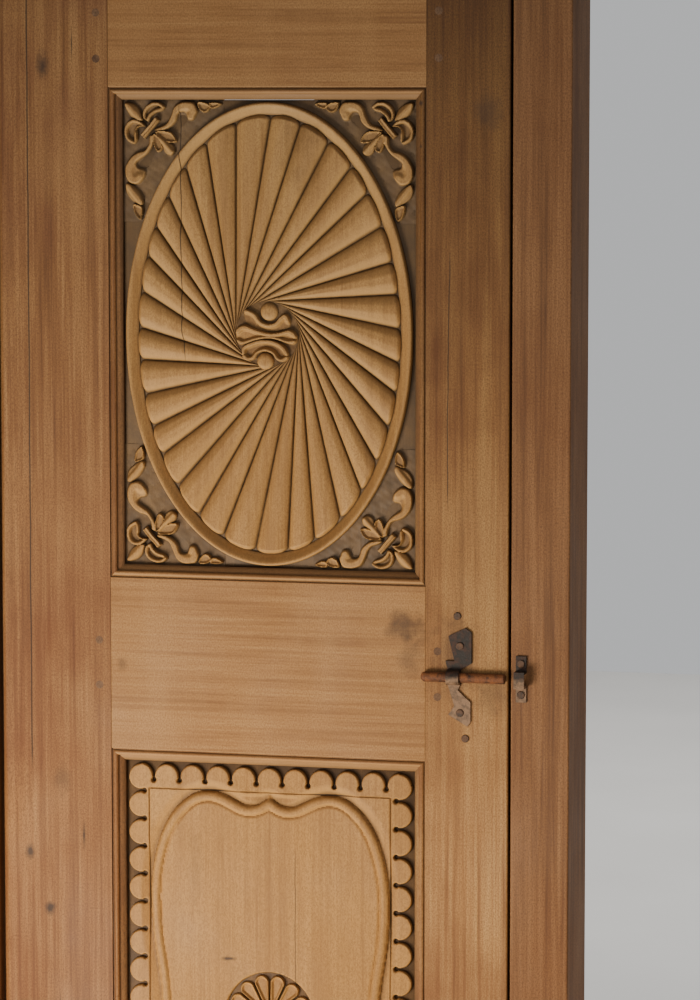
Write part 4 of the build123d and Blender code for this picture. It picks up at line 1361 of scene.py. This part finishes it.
@dataclass
class LowerPanel(Panel):
    """Carved board with a scalloped border, an incised line, a cusped moulding and a rosette."""

    node: str = "lower_panel"
    ground: float = 16.0
    field_level: float = 9.0
    border_w: float = 29.0
    border_h: float = 32.5
    scallop_pitch: float = 33.0
    scallop_edge: float = 3.0
    slit: float = 2.0
    keyhole_r: float = 2.3
    keyhole_inset: float = 22.5
    line_w: float = 2.2
    line_cut: float = 1.7
    bead_w: float = 10.0
    bead_shift: float = 1.5
    bead_foot: float = 9.6
    bead_rise: float = 2.8
    hollow: float = 3.9
    hollow_w: float = 15.0
    cusp_bed: float = 3.4
    cusp_reach: float = 62.0
    cusp_ridge: float = 3.0
    notch: float = 1.2
    recess_r: float = 55.0
    recess_floor: float = 15.4
    edge_gap: float = 0.2
    line_gap: float = 2.0
    sheet_back: float = 17.5
    fine_pitch: float = 0.84
    field_pitch: float = 1.45
    tool_marks: float = 0.35
    foot_groove: float = 0.5
    cusp_top: float = 2.0
    cusp_fade: float = 6.0

    def __post_init__(self) -> None:
        """Takes the panel's place and size from the frame and works out the cusped line."""
        super().__post_init__()
        self.line_x = self.half_w - self.border_w
        self.line_z = self.half_h - self.border_h
        quarter = tuple((x, self.half_h - down) for x, down in CUSPED_LINE)
        self.cusped = rounded((*quarter, (CUSPED_WAIST, 0.0)), False, 5)

    def build(self) -> None:
        """Builds and dresses every piece of the panel."""
        edge_w, edge_h = self.half_w - self.edge_gap, self.half_h - self.edge_gap
        inner_w, inner_h = self.line_x - self.line_gap, self.line_z - self.line_gap
        border = Sheet("scalloped_border", -edge_w, edge_w, -edge_h, edge_h, self.fine_pitch, self.sheet_back)
        middle = Sheet("cusped_field", -inner_w - 1, inner_w + 1, -inner_h - 1, inner_h + 1, self.field_pitch,
                       self.sheet_back)

        def ring(x: Array, z: Array) -> Array:
            """Positive on the border."""
            return np.maximum(np.abs(x) - inner_w, np.abs(z) - inner_h)

        for piece in (
            self.board("lower_board"),
            border.build(self.centre, self.depth, ring),
            middle.build(self.centre, self.depth),
            Rosette().build(self.centre),
        ):
            self.hand_in(piece, PANEL_WOOD)

    def depth(self, x: Array, z: Array) -> Array:
        """Depth of the carving.

        Args:
            x: across positions from the panel's centre.
            z: upright positions from the panel's centre.

        Returns:
            The depths.
        """
        ax, az = np.abs(x), np.abs(z)
        level = self.field_level + self.tool_marks * wobble(x, z, 22.0, 1.0)
        level_sides = self.scallops(ax, az, self.half_w, self.half_h)
        upright_sides = self.scallops(az, ax, self.half_h, self.half_w)
        d = np.minimum(level_sides, upright_sides)
        flat = self.ground - (self.ground - level) * ease(-0.2, 1.1, d) + self.foot_groove * ease(2.6, 0.8, d)
        line = np.maximum(ax - self.line_x, az - self.line_z)
        flat = flat + self.line_cut * ease(self.line_w / 2, 0.1, np.abs(line))
        return self.moulding(ax, az, x, z, flat)

    def scallops(self, along: Array, off: Array, half_l: float, half_d: float) -> Array:
        """Distance inside the scalloped edge along two opposite sides.

        Args:
            along: distance from the middle, along the edge.
            off: distance from the middle, towards the edge.
            half_l: half length of the edge.
            half_d: half distance between the two edges.

        Returns:
            The distance, positive on the wood that stands up.
        """
        count = round(2 * half_l / self.scallop_pitch)
        pitch = 2 * (half_l - self.scallop_edge) / count
        phase = np.mod(along / pitch + (0.5 if count % 2 else 0.0), 1.0)
        tongue = np.abs(phase - 0.5) * pitch
        gap = pitch / 2 - tongue
        r = (pitch - self.slit) / 2
        q = half_d - off
        q_disc = self.scallop_edge + r
        cap = np.where(q < q_disc, r - np.hypot(tongue, q - q_disc), 99.0)
        slot = np.hypot(gap, np.maximum(q - self.keyhole_inset, 0.0)) - self.slit / 2
        hole = np.hypot(gap, q - self.keyhole_inset) - self.keyhole_r
        within = along < half_l - self.scallop_edge - pitch * 0.5
        slot = np.where(within, np.minimum(slot, hole), 99.0)
        return np.minimum(cap, slot)

    def moulding(self, ax: Array, az: Array, x: Array, z: Array, flat: Array) -> Array:
        """Adds the cusped moulding, the hollow outside it and the rosette's sunk bed.

        Args:
            ax: across positions without their sign.
            az: upright positions without their sign.
            x: across positions from the panel's centre.
            z: upright positions from the panel's centre.
            flat: depth of the field and its border.

        Returns:
            The depths.
        """
        d, _, side = to_line(ax, az, self.cusped)
        outside = np.where(side > 0, d, -d) - self.bead_shift
        half = self.bead_w / 2
        arch = np.clip(1 - ((outside + 0.6) / (half + 0.6)) ** 2, 0.0, 1.0) ** 0.6
        crown = self.bead_foot - self.bead_rise * arch
        wall = ease(half - 0.3, half + 0.9, outside)
        hollow = self.hollow * wall * ease(half + self.hollow_w, half + 1.0, outside)
        under_line = ease(self.line_z - self.cusp_top, self.line_z - self.cusp_fade, az)
        near_cusp = ease(self.cusp_reach, 8.0, ax) * under_line * (outside > half)
        bed = np.maximum(hollow, self.cusp_bed * near_cusp)
        ridge = ease(2.4, 0.4, np.abs(x)) * near_cusp * self.cusp_ridge
        notch = self.notch * ease(2.3, 0.3, np.abs(outside + half + 1.2))
        depth = np.where(np.abs(outside) < half + 0.3, np.minimum(flat, crown), flat + bed - ridge) + notch
        sunk = ease(self.recess_r, self.recess_r - 2.2, np.hypot(x, z))
        return depth + (self.recess_floor - depth) * sunk


@dataclass
class Rosette:
    """Rosette of looped petals in its sunk bed."""

    petals: int = 14
    radius: float = 52.0
    boss_r: float = 13.0
    boss_rise: float = 6.6
    bed: float = 14.0
    crest: float = 8.8
    hollow: float = 3.1
    margin: float = 3.4
    back: float = 17.0
    pitch: float = 0.66
    petal_fill: float = 0.94
    petal_gap: float = 0.3
    lip: float = 1.7
    dish_w: float = 4.2
    boss_moat: float = 2.0
    tool_marks: float = 0.2

    def build(self, centre: Vector) -> bpy.types.Object:
        """Makes the rosette as one carved disc.

        Args:
            centre: middle of the panel, in metres.

        Returns:
            The rosette.
        """
        r = self.radius + self.margin
        sheet = Sheet("rosette", -r, r, -r, r, self.pitch, self.back)
        return sheet.build(centre, self.depth, lambda x, z: r - 0.4 - np.hypot(x, z))

    def depth(self, x: Array, z: Array) -> Array:
        """Depth of the rosette.

        Args:
            x: across positions from the panel's centre.
            z: upright positions from the panel's centre.

        Returns:
            The depths.
        """
        away = np.hypot(x, z)
        turn = np.mod(np.arctan2(x, z) / (2 * np.pi) * self.petals, 1.0)
        off = (turn - 0.5) / self.petals * 2 * np.pi * away
        taper = math.sin(math.pi / self.petals)
        tip = self.radius / (1 + taper)
        tip_r = self.radius - tip - self.petal_gap
        flank = away * taper * self.petal_fill
        side = np.where(away < tip, flank - np.abs(off), tip_r - np.hypot(off, away - tip))
        wall = ease(-0.2, 1.1, side)
        dish = ease(self.lip, self.dish_w, side) * ease(self.boss_r + 2.0, self.boss_r + 9.0, away)
        depth = self.bed - (self.bed - self.crest) * wall + self.hollow * dish
        dome = np.clip(1 - (away / self.boss_r) ** 2, 0.0, 1.0) ** 0.5
        boss = self.bed - self.boss_rise * dome
        depth = np.where(away < self.boss_r, np.minimum(depth + self.boss_moat, boss), depth)
        return depth + self.tool_marks * wobble(x, z, 5.0, 2.0)


# Timbers, pegs and ironwork


@dataclass
class Timber:
    """A frame or leaf timber: the CAD piece with eased edges and its finish."""

    node: str
    body: str
    finish: WoodFinish
    ease_by: float = 0.0009
    least_edge: float = 0.03
    same_plane: float = math.radians(0.5)
    sharp_from: float = math.radians(60)

    def build(self, workshop: Workshop) -> None:
        """Makes the eased copy, dresses it and lets it stand for the node.

        Args:
            workshop: where the finish is made.
        """
        bm = bmesh.new()
        bm.from_mesh(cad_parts[self.node].data)
        bmesh.ops.remove_doubles(bm, verts=bm.verts, dist=1e-6)
        bmesh.ops.dissolve_limit(bm, angle_limit=self.same_plane, verts=bm.verts, edges=bm.edges)
        edges = [edge for edge in bm.edges if self.is_long_arris(edge)]
        bmesh.ops.bevel(bm, geom=edges, offset=self.ease_by, segments=2, profile=0.5, affect="EDGES",
                        material=-1, clamp_overlap=True)
        bmesh.ops.triangulate(bm, faces=[f for f in bm.faces if len(f.verts) > 4])
        bm.normal_update()
        for face in bm.faces:
            # planed sides are square to the axes and stay flat, everything else is curved
            face.smooth = max(abs(part) for part in face.normal) < 0.99999
        obj = finish_mesh(self.node + "_eased", bm, 20.0, smooth=False)
        dress(obj, workshop.finish(self.finish))
        hand_over(obj, self.body, self.finish.slot, self.node)

    def is_long_arris(self, edge: bmesh.types.BMEdge) -> bool:
        """Whether an edge is a long outer corner of the timber."""
        if not edge.is_manifold or not edge.is_convex:
            return False
        return edge.calc_face_angle(0) > self.sharp_from and edge.calc_length() > self.least_edge


TIMBERS = (
    Timber("hinge_stile", "leaf", STILE_WOOD),
    Timber("lock_stile", "leaf", LOCK_STILE_LIT_WOOD),
    Timber("top_rail", "leaf", RAIL_WOOD),
    Timber("lock_rail", "leaf", RAIL_WOOD),
    Timber("bottom_rail", "leaf", RAIL_WOOD),
    Timber("jamb_left", "frame", FRAME_WOOD),
    Timber("jamb_right", "frame", FRAME_WOOD),
    Timber("head", "frame", BEAM_WOOD),
    Timber("threshold", "frame", BEAM_WOOD),
)


@dataclass
class Fittings:
    """Pegs, nails and the bolt with its holders: the part's own pieces with their finish."""

    finishes: dict[str, WoodFinish | IronFinish] = field(default_factory=lambda: {
        "leaf_pegs": PEG_WOOD, "frame_pegs": PEG_WOOD,
        "bolt_strap": STRAP_IRON, "bolt_keeper": STRAP_IRON, "slide_bolt": BOLT_IRON,
        "strap_nails": NAIL_IRON, "old_nails": NAIL_IRON, "keeper_nails": NAIL_IRON,
    })

    def build(self, workshop: Workshop) -> None:
        """Dresses each of them.

        Args:
            workshop: where the finishes are made.
        """
        for node, finish in self.finishes.items():
            dress(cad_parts[node], workshop.finish(finish))
            LOG.info("%s dressed", node)


# Studio


@dataclass(frozen=True)
class Lamp:
    """A round, soft area light."""

    name: str
    at: Triple
    aim: Triple
    size: float
    power: float
    colour: Colour
    spread: float = 180.0

    def build(self) -> None:
        """Adds the light and aims it."""
        data = bpy.data.lights.new(self.name, "AREA")
        data.shape = "DISK"
        data.size = self.size
        data.energy = self.power
        data.color = self.colour
        data.spread = math.radians(self.spread)
        lamp = bpy.data.objects.new(self.name, data)
        lamp.location = self.at
        lamp.rotation_euler = (Vector(self.aim) - Vector(self.at)).to_track_quat("-Z", "Y").to_euler()
        lamp.visible_camera = False
        bpy.context.scene.collection.objects.link(lamp)


# The key light stands low on the left: the photograph's carving is lit from below
LAMPS = (
    Lamp("key", (-0.62, -1.25, 0.34), (0.0, 0.0, 1.3), 0.75, 22.0, (1.0, 0.92, 0.8), 150.0),
    Lamp("front", (0.4, -4.4, 1.6), (0.0, 0.0, 1.2), 2.8, 26.0, (1.0, 0.96, 0.9)),
    Lamp("rim", (2.6, -1.2, 2.6), (0.0, 0.0, 1.2), 1.6, 8.0, (0.93, 0.96, 1.0)),
    Lamp("overhead", (0.4, 4.6, 5.0), (0.4, 4.2, 0.0), 5.0, 190.0, (1.0, 0.98, 0.95), 140.0),
)


@dataclass
class Studio:
    """Pale floor, soft lights and the camera at the photograph's angle."""

    floor_size: float = 14.0
    sky: tuple[float, float, float, float] = (0.86, 0.87, 0.88, 1.0)
    sky_light: float = 0.24
    sky_seen: float = 0.62
    camera_at: Triple = (1.2353, -4.4391, 1.6691)
    camera_turn: Triple = (84.27, 0.0, 14.1)
    lens: float = 144.0

    def build(self) -> None:
        """Adds the floor, the lights, the backdrop and the camera."""
        self.floor()
        for lamp in LAMPS:
            lamp.build()
        self.backdrop()
        self.camera()

    def floor(self) -> None:
        """Pale matt floor."""
        bm = bmesh.new()
        bmesh.ops.create_grid(bm, x_segments=1, y_segments=1, size=self.floor_size / 2)
        floor = finish_mesh("studio_floor", bm)
        sheet = NodeSheet("studio_floor_pale")
        tone = sheet.noise((2.0, 2.0, 2.0), 3.0)
        colour = sheet.ramp(tone, [(0.3, (0.66, 0.65, 0.63)), (0.7, (0.7, 0.69, 0.67))])
        sheet.feed(sheet.shader, {"Base Color": colour, "Roughness": 0.8})
        dress(floor, sheet.material)

    def backdrop(self) -> None:
        """Even pale grey all round, seen brighter than it lights."""
        world = bpy.data.worlds.new("studio")
        world.use_nodes = True
        nodes, links = world.node_tree.nodes, world.node_tree.links
        background = nodes["Background"]
        background.inputs["Color"].default_value = self.sky
        rays = nodes.new("ShaderNodeLightPath")
        level = nodes.new("ShaderNodeMapRange")
        level.inputs["To Min"].default_value = self.sky_light
        level.inputs["To Max"].default_value = self.sky_seen
        links.new(rays.outputs["Is Camera Ray"], level.inputs["Value"])
        links.new(level.outputs["Result"], background.inputs["Strength"])
        bpy.context.scene.world = world

    def camera(self) -> None:
        """Camera at the photograph's place."""
        data = bpy.data.cameras.new("photo_view")
        data.lens = self.lens
        data.sensor_width = 36.0
        data.sensor_fit = "AUTO"
        data.clip_end = 50.0
        eye = bpy.data.objects.new("photo_view", data)
        eye.location = self.camera_at
        eye.rotation_euler = tuple(math.radians(a) for a in self.camera_turn)
        bpy.context.scene.collection.objects.link(eye)
        bpy.context.scene.camera = eye


def main() -> None:
    """Builds every piece in order."""
    logging.basicConfig(level=logging.INFO, format="%(name)s %(message)s")
    workshop = Workshop()
    Studio().build()
    UpperPanel(workshop).build()
    LowerPanel(workshop).build()
    for timber in TIMBERS:
        timber.build(workshop)
    Fittings().build(workshop)


if __name__ == "__main__":
    main()
